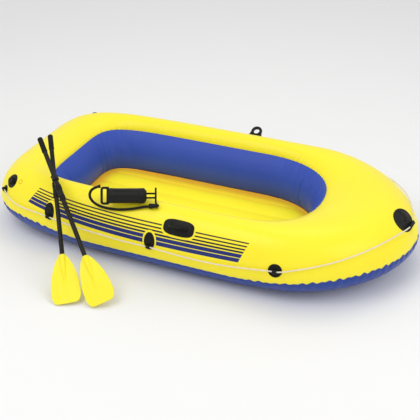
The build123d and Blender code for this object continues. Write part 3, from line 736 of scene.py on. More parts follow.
def make_materials(colours):
    MATERIALS.update(
        top=top_film_material(colours),
        lower=plain_film_material("blue_vinyl_film", colours.blue, colours.blue_deep),
        # The cockpit wall's film gets a weak painted glow, an emission in its own blue.
        wall=plain_film_material(
            "cockpit_blue_film", colours.wall_blue, colours.wall_blue_deep, 0.38, 0.12, 0.06
        ),
        floor=floor_film_material(colours),
        blade=moulded_material(
            "yellow_blade_plastic", colours.blade, colours.yellow_deep, 0.38, 180.0, 0.05
        ),
        shaft=moulded_material("black_shaft_tube", colours.shaft, colours.black_worn, 0.36, 300.0, 0.05),
        rope=rope_material(colours),
        inside=plain_film_material("inner_vinyl_film", colours.yellow_deep, colours.blue_deep),
    )
    for key, name, roughness, grain, depth in (
        ("grip", "black_grip_foam", 0.62, 420.0, 0.35),
        ("hose", "black_hose_rubber", 0.45, 300.0, 0.10),
        ("plastic", "black_pump_plastic", 0.40, 320.0, 0.10),
        ("valve", "black_valve_rubber", 0.42, 240.0, 0.10),
        ("rubber", "black_fitting_rubber", 0.46, 240.0, 0.15),
        ("rod", "black_rod_plastic", 0.30, 300.0, 0.04),
    ):
        MATERIALS[key] = moulded_material(
            name, colours.black, colours.black_worn, roughness, grain, depth
        )


def colour_property(name, description, default):
    return FloatVectorProperty(
        name=name, description=description, default=default, size=3, min=0, max=1, subtype="COLOR"
    )


class BoatColours(PropertyGroup):
    """Colours of the boat's films, mouldings and ropes."""

    yellow: colour_property("Yellow film", "The hull's top and the floor", (1.0, 0.875, 0.030))
    yellow_deep: colour_property(
        "Yellow film, deep", "Where the yellow film lies thicker", (1.0, 0.76, 0.022)
    )
    # Painted shade: the warm orange painted on the floor beside the wall and in its welds.
    painted_floor_shade: colour_property(
        "Floor hollow", "The floor beside the wall and in its welds", (1.0, 0.40, 0.045)
    )
    blue: colour_property("Blue film", "The hull's lower side", (0.020, 0.060, 0.32))
    blue_deep: colour_property(
        "Blue film, deep", "Where the blue film lies thicker", (0.012, 0.025, 0.19)
    )
    wall_blue: colour_property("Cockpit blue", "The cockpit's inner wall", (0.044, 0.092, 0.46))
    wall_blue_deep: colour_property(
        "Cockpit blue, deep", "The wall's darker places", (0.036, 0.058, 0.34)
    )
    thin_ink: colour_property("Thin stripes", "Ink of the thin stripes", (0.020, 0.014, 0.030))
    wide_ink: colour_property("Wide stripes", "Ink of the wide stripes", (0.012, 0.022, 0.17))
    mark_ink: colour_property("Mark", "Ink of the small mark at the stern", (0.75, 0.25, 0.02))
    blade: colour_property("Blade", "The oars' blades", (0.95, 0.84, 0.035))
    shaft: colour_property("Shaft", "The oars' tubes", (0.010, 0.009, 0.007))
    black: colour_property("Black", "Rubber and moulded plastic", (0.0065, 0.0065, 0.0055))
    black_worn: colour_property("Black, worn", "Scuffed and dusty black", (0.026, 0.025, 0.022))
    rope: colour_property("Rope", "The grab lines", (0.93, 0.86, 0.68))
    # Painted shade between the rope's yarns.
    painted_rope_shade: colour_property("Rope shade", "Between the rope's yarns", (0.62, 0.50, 0.30))
    floor: colour_property("Studio floor", "The pale floor under the boat", (0.90, 0.90, 0.90))


class BoatSizes(PropertyGroup):
    """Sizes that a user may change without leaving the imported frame."""

    pucker_depth: FloatProperty(
        name="Pucker depth", description="How deep the gathers along the curved welds are",
        default=0.0045, min=0, max=0.02, unit="LENGTH",
    )
    pucker_reach: FloatProperty(
        name="Pucker reach", description="How far the gathers run out over the film",
        default=0.055, min=0.005, max=0.2, unit="LENGTH",
    )
    weld_depth: FloatProperty(
        name="Weld depth", description="How far a weld draws the film in",
        default=0.0030, min=0, max=0.01, unit="LENGTH",
    )
    rope_lay: FloatProperty(
        name="Rope lay", description="Length of one twist of the grab lines",
        default=0.030, min=0.01, max=0.2, unit="LENGTH",
    )
    hose_pitch: FloatProperty(
        name="Hose pitch", description="Spacing of the hose's ribs",
        default=0.0036, min=0.002, max=0.02, unit="LENGTH",
    )


# ---------------------------------------------------------------- hull
def panels(kind):
    return [f"{kind}_{panel}" for panel in ("bow", "port", "stern", "starboard")]


def ring_piece(name, columns, coords, layer):
    """A closed film from columns of points round the hull; coords gives each point's place in the map."""
    rows = len(columns[0])
    points = [point for column in columns for point in column]
    faces = []
    count = len(columns)
    for index in range(count):
        after = (index + 1) % count
        for row in range(rows - 1):
            first, second = index * rows + row, after * rows + row
            faces.append((first, second, second + 1, first + 1))
    piece = mesh_piece(name, points, faces)
    map_points(piece, layer, coords)
    return piece


def stripe_edge(x, lowest, aft, fore):
    """The height of the print's edge: it climbs both ways from the middle, each way by its own bend."""
    climb, reach = aft if x < STRIPE_MIDDLE else fore
    return lowest + climb * ((x - STRIPE_MIDDLE) / reach) ** 2


def stripe_share(x, z, outside):
    """Where a point lies on the stripes: share along them and share down them."""
    if not outside or x < -0.95:
        return (-1.0, -1.0)
    top = stripe_edge(x, 0.311, (0.026, 0.704), (0.003, 0.535))
    bottom = stripe_edge(x, 0.200, (0.052, 0.734), (0.013, 0.51))
    down = (top - z) / (top - bottom)
    left, right = -0.794 - 0.060 * down, 0.445 - 0.044 * down
    return ((x - left) / (right - left), down)


class BOAT_OT_hull(Operator):
    """Build the hull's welded films: yellow top, blue lower side and blue cockpit wall"""

    bl_idname = "boat.hull"
    bl_label = "Hull Films"

    def execute(self, context):
        sizes = context.scene.boat_sizes
        self.top_film(sizes)
        self.lower_film(sizes)
        self.wall_film(sizes)
        return {"FINISHED"}

    def top_film(self, sizes):
        columns, coords = [], []
        for station in RING:
            seam_turn = turn_at_height(seam_height(station))
            column = []
            for row in range(47):
                if row <= 30:
                    share = row / 30
                    turn = seam_turn + (90 - seam_turn) * (share**1.25)
                    inset, height = tube_point(station, turn)
                    out, up = tube_facing(station, turn)
                    from_seam = abs(radians(turn - seam_turn)) * station.crest
                    swell = sizes.pucker_depth * station.curl * pucker(station.along, SCALLOP_PITCH)
                    swell *= exp(-from_seam / sizes.pucker_reach)
                    swell += 0.0016 * station.curl * pucker(station.along, 0.115) * exp(-from_seam / 0.16)
                    swell -= sizes.weld_depth * exp(-((from_seam / 0.006) ** 2))
                else:
                    share = (row - 30) / 16
                    inset, height = deck_point(station, share)
                    turn = radians(EDGE_TURN) * share
                    deck = station.width - station.crest
                    out, up = -(TUBE_HEIGHT - EDGE_HEIGHT) * sin(turn), deck * cos(turn)
                    to_edge = (1 - share) * deck * 1.25
                    swell = 0.0028 * station.wall_curl * pucker(station.along, 0.052) * exp(-to_edge / 0.035)
                    swell -= 0.0022 * exp(-((to_edge / 0.006) ** 2))
                size = hypot(out, up)
                column.append(station.at(inset - swell * out / size, height + swell * up / size))
                coords.append(stripe_share(column[-1].x, column[-1].z, row <= 30))
            columns.append(column)
        piece = ring_piece("hull_top_film", columns, coords, "stripes")
        thicken_film(piece, FILM)
        finish_piece(piece, "top", "root", panels("top_skin"), 60)

    def lower_film(self, sizes):
        columns, coords = [], []
        for station in RING:
            seam_turn = turn_at_height(seam_height(station))
            column = []
            for row in range(6):
                inset = station.outer - (station.outer - station.keel) * row / 6
                column.append(station.at(inset, 0.0008))
            for row in range(23):
                share = row / 22
                turn = -90 + (seam_turn + 90) * (1 - (1 - share) ** 1.2)
                inset, height = tube_point(station, turn)
                out, up = tube_facing(station, turn)
                from_seam = abs(radians(turn - seam_turn)) * LIMB_HEIGHT
                fade = smooth_step(0.0, 0.3, share)
                swell = sizes.pucker_depth * station.curl * pucker(station.along, SCALLOP_PITCH)
                swell *= exp(-from_seam / sizes.pucker_reach) * fade
                swell -= sizes.weld_depth * exp(-((from_seam / 0.006) ** 2))
                size = max(hypot(out, up), 1e-6)
                point = station.at(inset - swell * out / size, height + swell * up / size)
                point.z = max(point.z, 0.0006)
                column.append(point)
            columns.append(column)
            coords += [(station.along, row / 28) for row in range(29)]
        piece = ring_piece("hull_lower_film", columns, coords, "film")
        close_doubles(piece, 0.0001, outwards=False)
        thicken_film(piece, FILM * 0.5)
        finish_piece(piece, "lower", "root", panels("lower_skin") + ["bottom_sheet"], 60)

    def wall_film(self, sizes):
        columns, coords = [], []
        for station in RING:
            column = []
            seam = 0.0
            for place in WALL_WELDS:
                seam = max(seam, exp(-(((station.along - place) / 0.0075) ** 2)))
            for row in range(33):
                drop = row / 32
                height = EDGE_HEIGHT - 0.0006 - (EDGE_HEIGHT - FLOOR_HEIGHT) * drop
                inset = wall_inset(station, drop)
                gather = 0.0042 * station.wall_curl * pucker(station.along, 0.058)
                gather *= exp(-drop / 0.16) + 0.9 * exp(-(1 - drop) / 0.20)
                dent = 0.0060 * seam * sin(pi * min(max(drop, 0.03), 0.97)) ** 0.5
                dent += 0.0022 * exp(-((drop / 0.025) ** 2)) + 0.003 * exp(-(((1 - drop) / 0.03) ** 2))
                slow = 0.0022 * station.wall_curl * cos(2 * pi * station.along / 0.21 + 5 * drop)
                column.append(station.at(inset + (gather + slow) * sin(pi * drop) ** 0.3 - dent, height))
                coords.append((station.along, drop * 0.3))
            columns.append(column)
        piece = ring_piece("cockpit_wall_film", columns, coords, "film")
        thicken_film(piece, FILM)
        finish_piece(piece, "wall", "root", panels("inner_wall"), 60)


class BOAT_OT_floor(Operator):
    """Build the air floor with its lengthwise channels"""

    bl_idname = "boat.floor"
    bl_label = "Air Floor"

    def execute(self, context):
        half_ring = RING[: RING_HALF_COLUMNS + 1]
        edge = [station.at(wall_inset(station, 1) + 0.001, 0) for station in half_ring]
        half_width = max(point.y for point in edge)
        rows, columns = 12 * FLOOR_CHANNELS + 1, 150
        points, faces, hollow = [], [], []
        channel = 2 * COCKPIT_HALF_WIDTH / FLOOR_CHANNELS
        for row in range(rows):
            y = -half_width * 0.9995 + 2 * half_width * 0.9995 * row / (rows - 1)
            bow_x, stern_x = self.ends(edge, abs(y))
            for column in range(columns):
                share = column / (columns - 1)
                x = stern_x + (bow_x - stern_x) * share
                place = ((y + COCKPIT_HALF_WIDTH) / channel) % 1.0
                gap = min((x - stern_x), (bow_x - x), (half_width - abs(y)) * 0.9)
                ends = smooth_step(0.0, 0.085, gap)
                crown = (1 - (2 * place - 1) ** 2) * ends
                valley = exp(-((min(place, 1 - place) / 0.06) ** 2)) * ends
                z = FLOOR_HEIGHT - CHANNEL_CROWN + CHANNEL_CROWN * crown + 0.0075 * exp(-gap / 0.014)
                z += 0.0012 * sin(2 * pi * x / 0.31 + 3 * y) * ends
                points.append((x, y, z))
                # Painted shade: how far the floor's colour is pulled to the orange shade, in the channel
                # valleys and close to the wall.
                hollow.append(min(1.0, 0.40 * valley + 0.95 * exp(-((max(gap, 0) / 0.075) ** 2))))
        for row in range(rows - 1):
            for column in range(columns - 1):
                first = row * columns + column
                faces.append((first, first + 1, first + columns + 1, first + columns))
        piece = mesh_piece("air_floor_film", points, faces)
        shade = piece.data.attributes.new("hollow", "FLOAT", "POINT")
        shade.data.foreach_set("value", hollow)
        thicken_film(piece, FILM)
        finish_piece(piece, "floor", "root", ["floor_sheet"], 60)
        return {"FINISHED"}

    def ends(self, edge, y):
        """Where the floor's outline crosses a line at y, at the bow and at the stern."""
        bow_x, stern_x = edge[0].x, edge[-1].x
        middle = max(range(len(edge)), key=lambda index: edge[index].y)
        for before, after in zip(edge[:middle], edge[1 : middle + 1]):
            if before.y <= y <= after.y:
                bow_x = before.x + (after.x - before.x) * (y - before.y) / max(after.y - before.y, 1e-9)
        for before, after in zip(edge[middle:], edge[middle + 1 :]):
            if after.y <= y <= before.y:
                stern_x = before.x + (after.x - before.x) * (before.y - y) / max(before.y - after.y, 1e-9)
        return bow_x, stern_x


# ---------------------------------------------------------------- fittings
def line_bridge(name):
    """A rubber loop that a grab line runs through along x."""
    half = LOOP_LENGTH / 2
    arch = turned(name, [
        (0.0062, -half), (0.0105, -half), (0.0105, half), (0.0062, half), (0.0062, -half),
    ], 32)
    place(arch, Matrix.Translation((0, 0, ROPE_STANDOFF)) @ Matrix.Rotation(radians(90), 4, "Y"))
    foot = block(f"{name}_foot", (LOOP_LENGTH, 0.020, 0.0045), (0, 0, 0.0022), 0.0010)
    bevel_edges(arch, 0.0012, 2)
    return join([arch, foot], name)


class BOAT_OT_fittings(Operator):
    """Build the lugs, line clips, oarlocks and the bow handle, moulded to the hull"""

    bl_idname = "boat.fittings"
    bl_label = "Rubber Fittings"

    def execute(self, context):
        for side, sign in (("starboard", -1), ("port", 1)):
            for lug, stop, size, rise in (
                ("stern_lug", 0, (0.046, 0.046), 0.0),
                ("aft_lug", AFT_LUG_STOP, LUG_PAD, LUG_RISE),
                ("middle_lug", MIDDLE_LUG_STOP, LUG_PAD, LUG_RISE),
            ):
                seat = line_seat(stop, sign)
                up = 1 if (seat.to_3x3() @ Vector((0, 1, 0))).z > 0 else -1
                self.lug(f"{lug}_{side}", seat, size, up * rise, up)
            self.clip(f"line_clip_{side}", line_seat(CLIP_STOP, sign))
            self.oarlock(f"oarlock_{side}", hull_seat(OARLOCK_X, sign * 90, OARLOCK_TURN))
        self.bow_handle(hull_seat(SPINE_BOW, *BOW_FITTING))
        return {"FINISHED"}

    def fit(self, piece, seat, node):
        place(piece, seat)
        mould_to_hull(piece, seat)
        finish_piece(piece, "rubber", "root", [node])

    def lug(self, node, seat, size, rise, up):
        """An oval pad with a raised rim, a blind boss and a loop for the line below it."""
        pad = moulded_pad(f"{node}_pad", *size)
        place(pad, Matrix.Translation((0, rise, PAD_GAP)))
        bridge = line_bridge(f"{node}_loop")
        parts = [pad, bridge]
        if rise:
            boss = turned(f"{node}_boss", [
                (0.0, 0.0), (0.017, 0.0), (0.0165, 0.0045), (0.0145, 0.0062), (0.0125, 0.0055),
                (0.010, 0.0046), (0.0, 0.0044),
            ], 32)
            place(boss, Matrix.Translation((0, rise + up * 0.014, PAD_GAP + 0.001)))
            tongue = block(f"{node}_tongue", (0.012, 0.030, 0.004), (0, rise - up * 0.010, 0.0035), 0.0014)
            parts += [boss, tongue]
        self.fit(join(parts, f"{node}_moulding"), seat, node)

    def clip(self, node, seat):
        """A round pad with a loop for the line."""
        pad = moulded_pad(f"{node}_pad", 0.072, 0.072)
        rim = turned(f"{node}_rim", [
            (0.024, 0.002), (0.026, 0.0046), (0.029, 0.0046), (0.0305, 0.002), (0.024, 0.002),
        ], 40)
        self.fit(join([pad, rim, line_bridge(f"{node}_loop")], f"{node}_moulding"), seat, node)

    def oarlock(self, node, seat):
        """A broad pad with an upright fin that the oar's shaft goes through."""
        pad = moulded_pad(f"{node}_pad", 0.170, 0.084, 3.2)
        deselect()
        bpy.ops.mesh.primitive_circle_add(vertices=40, radius=0.019, location=(0, 0, 0))
        fin = bpy.context.object
        fin.name = f"{node}_fin"
        begin_edit(fin, "EDGE")
        bpy.ops.mesh.select_all(action="SELECT")
        bpy.ops.mesh.extrude_edges_move()
        bpy.ops.transform.resize(value=(1.28, 1.28, 1))
        bpy.ops.mesh.extrude_edges_move()
        bpy.ops.transform.resize(value=(1.395, 1.395, 1))
        shape = bmesh.from_edit_mesh(fin.data)
        for vert in shape.verts:
            radius = hypot(vert.co.x, vert.co.y)
            if radius > 0.030 and vert.co.y < 0.004:
                # The fin's foot: the outer ring is drawn down to the pad.
                share = smooth_step(0.004, -0.030, vert.co.y)
                vert.co.x *= 1 + 1.35 * share**2 * (1 if abs(vert.co.x) > 0.004 else 0)
                vert.co.y = vert.co.y * (1 - share) + share * (-0.0475)
        bmesh.update_edit_mesh(fin.data)
        bpy.ops.mesh.select_all(action="SELECT")
        bpy.ops.mesh.extrude_region_move(TRANSFORM_OT_translate={"value": (0, 0, 0.009)})
        bpy.ops.mesh.select_all(action="SELECT")
        bpy.ops.mesh.normals_make_consistent(inside=False)
        end_edit()
        bevel_edges(fin, 0.0014, 2)
        upright = Matrix.Translation((0, 0.0045, OARLOCK_EYE)) @ Matrix.Rotation(radians(90), 4, "X")
        place(fin, upright)
        collar = turned(f"{node}_collar", [
            (0.0185, -0.0075), (0.0225, -0.0075), (0.0235, 0.0), (0.0225, 0.0075), (0.0185, 0.0075),
            (0.0185, -0.0075),
        ], 40)
        place(collar, Matrix.Translation((0, 0, OARLOCK_EYE)) @ Matrix.Rotation(radians(90), 4, "X"))
        ribs = [
            block(f"{node}_rib_{index}", (0.006, 0.050, 0.005), (x, 0, 0.004), 0.0018)
            for index, x in enumerate((-0.046, 0.046))
        ]
        self.fit(join([pad, fin, collar, *ribs], f"{node}_moulding"), seat, node)

    def bow_handle(self, seat):
        """The oval tow pad at the bow with its raised handle."""
        pad = moulded_pad("bow_handle_pad", 0.164, 0.128, 2.1)
        drop = -BOW_BRIDGE_DROP
        bar = block("bow_handle_bar", (0.060, 0.018, 0.0055), (0, drop, 0.0232), 0.0025, 3)
        feet = [
            block(f"bow_handle_foot_{index}", (0.008, 0.020, 0.024), (x, drop, 0.0120), 0.0025, 3)
            for index, x in enumerate((-0.026, 0.026))
        ]
        knob = turned("bow_handle_knob", [
            (0.0, 0.002), (0.009, 0.002), (0.008, 0.0048), (0.005, 0.006), (0.0, 0.0062),
        ], 24)
        place(knob, Matrix.Translation((0.006, -0.008, 0)))
        strip = block("bow_handle_strip", (0.004, 0.060, 0.003), (0.022, 0.020, 0.0038), 0.001)
        self.fit(join([pad, bar, *feet, knob, strip], "bow_handle_moulding"), seat, "bow_handle")


class BOAT_OT_valves(Operator):
    """Build the three valves: flange and collar, knurled screw-in body, cap with its tab"""

    bl_idname = "boat.valves"
    bl_label = "Valves"

    def execute(self, context):
        for valve, seat in (
            ("outer_chamber_valve", hull_seat(SPINE_STERN, -VALVE_HEADING, VALVE_TURN)),
            ("inner_chamber_valve", hull_seat(SPINE_STERN, VALVE_HEADING, VALVE_TURN)),
            ("floor_valve", axes_at((FLOOR_VALVE_X, 0, FLOOR_HEIGHT), (1, 0, 0), (0, 0, 1))),
        ):
            flange = turned(f"{valve}_flange", [
                (0.0170, 0.0003), (0.0400, 0.0003), (0.0400, 0.0020),
                (0.0388, 0.0030), (0.0372, 0.0030),
                (0.0358, 0.0022), (0.0300, 0.0022), (0.0262, 0.0022),
                (0.0252, 0.0028), (0.0236, 0.0028),
                (0.0228, 0.0066), (0.0222, 0.0073), (0.0178, 0.0073),
                (0.0170, 0.0066), (0.0170, 0.0003),
            ], 64)
            place(flange, seat)
            if valve != "floor_valve":
                # Only the thin flange bends; the collar stays flat for its screw thread.
                mould_to_hull(flange, seat, 0.1, lambda radius: smooth_step(0.0232, 0.0252, radius))
            finish_piece(flange, "valve", "root", [f"{valve}_base"])

            body = turned(f"{valve}_plug", [
                (0.0, 0.0003), (0.0155, 0.0003), (0.01665, 0.0015), (0.01665, 0.0073), (0.0140, 0.0073),
                (0.0140, 0.00765), (0.0212, 0.00765), (0.0220, 0.0084),
                (0.0220, 0.0116), (0.0212, 0.01265),
                (0.0, 0.01265),
            ], 48)
            grip = []
            for index in range(12):
                turn = 2 * pi * index / 12
                lobe = turned(f"{valve}_lobe_{index}", [
                    (0.0, 0.0079), (0.0014, 0.0079), (0.0016, 0.0085), (0.0016, 0.0118),
                    (0.0014, 0.0124), (0.0, 0.0124),
                ], 8)
                place(lobe, Matrix.Translation((0.0219 * cos(turn), 0.0219 * sin(turn), 0)))
                grip.append(lobe)
            body = join([body, *grip], f"{valve}_screw")
            place(body, seat)
            finish_piece(body, "valve", f"{valve}_insert", [f"{valve}_insert"])

            lid = turned(f"{valve}_lid", [
                (0.0, 0.0130), (0.0182, 0.0130), (0.0190, 0.0136), (0.0190, 0.0160), (0.0180, 0.0169),
                (0.0150, 0.0170), (0.0140, 0.0163), (0.0062, 0.0163), (0.0052, 0.0171), (0.0, 0.0173),
            ], 48)
            tab = block(f"{valve}_tab", (0.012, 0.014, 0.0036), (0.0197, 0, 0.0150), 0.0012)
            lip = block(f"{valve}_lip", (0.0022, 0.011, 0.0012), (0.0240, 0, 0.0169), 0.0004)
            lid = join([lid, tab, lip], f"{valve}_lid")
            place(lid, seat)
            finish_piece(lid, "valve", f"{valve}_cap", [f"{valve}_cap"])
        return {"FINISHED"}


# ---------------------------------------------------------------- ropes and hose
def route_curve(name, points):
    """One smooth spline through space with the route's own control points."""
    curve = bpy.data.curves.new(name, "CURVE")
    curve.dimensions = "3D"
    curve.resolution_u = 24
    spline = curve.splines.new("NURBS")
    spline.points.add(len(points) - 1)
    for control, point in zip(spline.points, points):
        control.co = (*point, 1.0)
    spline.order_u = 3
    spline.use_endpoint_u = True
    route = bpy.data.objects.new(name, curve)
    bpy.context.scene.collection.objects.link(route)
    return route


def route_path(route):
    """The points that the spline runs through, at the curve's resolution."""
    mesh = bpy.data.meshes.new_from_object(route)
    path = [vert.co.copy() for vert in mesh.vertices]
    bpy.data.meshes.remove(mesh)
    return path


def even_path(path, spacing):
    travel = [0.0]
    for before, after in zip(path, path[1:]):
        travel.append(travel[-1] + (after - before).length)
    count = max(2, round(travel[-1] / spacing))
    even, index = [], 0
    for step in range(count + 1):
        wanted = travel[-1] * step / count
        while index < len(path) - 2 and travel[index + 1] < wanted:
            index += 1
        share = (wanted - travel[index]) / max(travel[index + 1] - travel[index], 1e-9)
        even.append(path[index].lerp(path[index + 1], min(max(share, 0), 1)))
    return even


def path_frames(path):
    """A side and an up direction at each point, carried along without twisting."""
    frames = []
    side = None
    for index, point in enumerate(path):
        way = (path[min(index + 1, len(path) - 1)] - path[max(index - 1, 0)]).normalized()
        if side is None:
            side = way.cross(Vector((0, 0, 1))).normalized()
        side = (side - way * side.dot(way)).normalized()
        frames.append((point, side, way.cross(side).normalized(), way))
    return frames


def tube_along(name, frames, radii, sides, offset=lambda index: (0.0, 0.0)):
    """A closed tube round a path; radii gives its radius and offset its centre at each point."""
    points, faces, coords = [], [], []
    for index, (point, side, up, _way) in enumerate(frames):
        shift_side, shift_up = offset(index)
        centre = point + side * shift_side + up * shift_up
        for step in range(sides):
            turn = 2 * pi * step / sides
            points.append(centre + radii[index] * (cos(turn) * side + sin(turn) * up))
            coords.append((index, step / sides))
    for index in range(len(frames) - 1):
        for step in range(sides):
            after = (step + 1) % sides
            first, second = index * sides, (index + 1) * sides
            faces.append((first + step, first + after, second + after, second + step))
    faces.append(tuple(range(sides - 1, -1, -1)))
    last = (len(frames) - 1) * sides
    faces.append(tuple(range(last, last + sides)))
    piece = mesh_piece(name, points, faces)
    map_points(piece, "yarn", coords)
    close_doubles(piece, 0.000001)
    return piece


class BOAT_OT_hose(Operator):
    """Build the pump's hose along its route, with its nozzle and adapter"""

    bl_idname = "boat.hose"
    bl_label = "Pump Hose"

    def execute(self, context):
        route = route_curve("hose_route", HOSE_POINTS)
        path = route_path(route)
        pitch = context.scene.boat_sizes.hose_pitch
        frames = path_frames(even_path(path, pitch / 4))
        wave = (0.0075, 0.0073, 0.0067, 0.0073)
        radii = [wave[index % 4] for index in range(len(frames))]
        for end in list(range(12)) + list(range(len(frames) - 12, len(frames))):
            radii[end] = 0.0075
        hose = tube_along("pump_hose_tube", frames, radii, 16)
        bpy.data.objects.remove(route)
        finish_piece(hose, "hose", "pump", ["pump_hose"], 80)

        end = Vector(HOSE_POINTS[-1])
        way = (end - Vector(HOSE_POINTS[-2])).normalized()
        seat = axes_at(end, way.cross(Vector((0, 0, 1))), way)
        nozzle = turned("hose_nozzle_cone", [
            (0.0, 0.0), (0.0120, 0.0), (0.0140, 0.0015),
            (0.0140, 0.0070), (0.0126, 0.0080), (0.0124, 0.0110),
            (0.0136, 0.0120), (0.0132, 0.0170), (0.0120, 0.0180), (0.0118, 0.0290), (0.0108, 0.0300),
            (0.0102, 0.0380), (0.0, 0.0380),
        ], 32)
        place(nozzle, seat)
        finish_piece(nozzle, "plastic", "pump", ["hose_nozzle"])
        adapter = turned("nozzle_adapter_disc", [
            (0.0, 0.0380), (0.0152, 0.0380), (0.0160, 0.0388), (0.0160, 0.0412), (0.0153, 0.0420),
            (0.0090, 0.0422), (0.0072, 0.0440), (0.0068, 0.0505), (0.0058, 0.0520), (0.0, 0.0520),
        ], 32)
        place(adapter, seat)
        finish_piece(adapter, "plastic", "pump", ["nozzle_adapter"])
        return {"FINISHED"}


class BOAT_OT_grab_lines(Operator):
    """Build the two grab lines as three-strand rope along the hull"""

    bl_idname = "boat.grab_lines"
    bl_label = "Grab Lines"

    def execute(self, context):
        lay = context.scene.boat_sizes.rope_lay
        for side, sign in (("starboard", -1), ("port", 1)):
            points = []
            for stop in range(len(GRAB_LINE_STOPS) + (side == "port")):
                held = stop in (0, AFT_LUG_STOP, MIDDLE_LUG_STOP, CLIP_STOP)
                for shift in (-STRAIGHT_HALF, STRAIGHT_HALF) if held else (0,):
                    points.append(line_seat(stop, sign) @ Vector((shift, 0, ROPE_STANDOFF)))
            bow_seat = hull_seat(SPINE_BOW, *BOW_FITTING)
            for across in (-0.036, -0.007):
                points.append(bow_seat @ Vector((-sign * across, -BOW_BRIDGE_DROP, BOW_BRIDGE_HEIGHT / 2)))
            route = route_curve(f"grab_line_route_{side}", points)
            path = route_path(route)
            spacing = lay / 10
            frames = path_frames(even_path(path, spacing))
            radii = [0.00215] * len(frames)
            strands = []
            for strand in range(3):
                def offset(index, strand=strand):
                    turn = 2 * pi * (index * spacing / lay + strand / 3)
                    return 0.00185 * cos(turn), 0.00185 * sin(turn)

                strands.append(tube_along(f"strand_{strand}_{side}", frames, radii, 8, offset))
            knots = []
            for index in (2, len(frames) - 3):
                point, knot_side, up, way = frames[index]
                knot = turned(f"knot_{index}_{side}", [
                    (0.0, -0.008), (0.0045, -0.0075), (0.0065, -0.004), (0.0058, 0.0), (0.0066, 0.004),
                    (0.0045, 0.0075), (0.0, 0.008),
                ], 16)
                place(knot, axes_at(point, knot_side, way))
                knots.append(knot)
                map_points(knot, "yarn", [(v.co.x * 300, v.co.z * 300) for v in knot.data.vertices])
            rope = join([*strands, *knots], f"grab_rope_{side}")
            bpy.data.objects.remove(route)
            finish_piece(rope, "rope", "root", [f"grab_line_{side}"], 80)
        return {"FINISHED"}


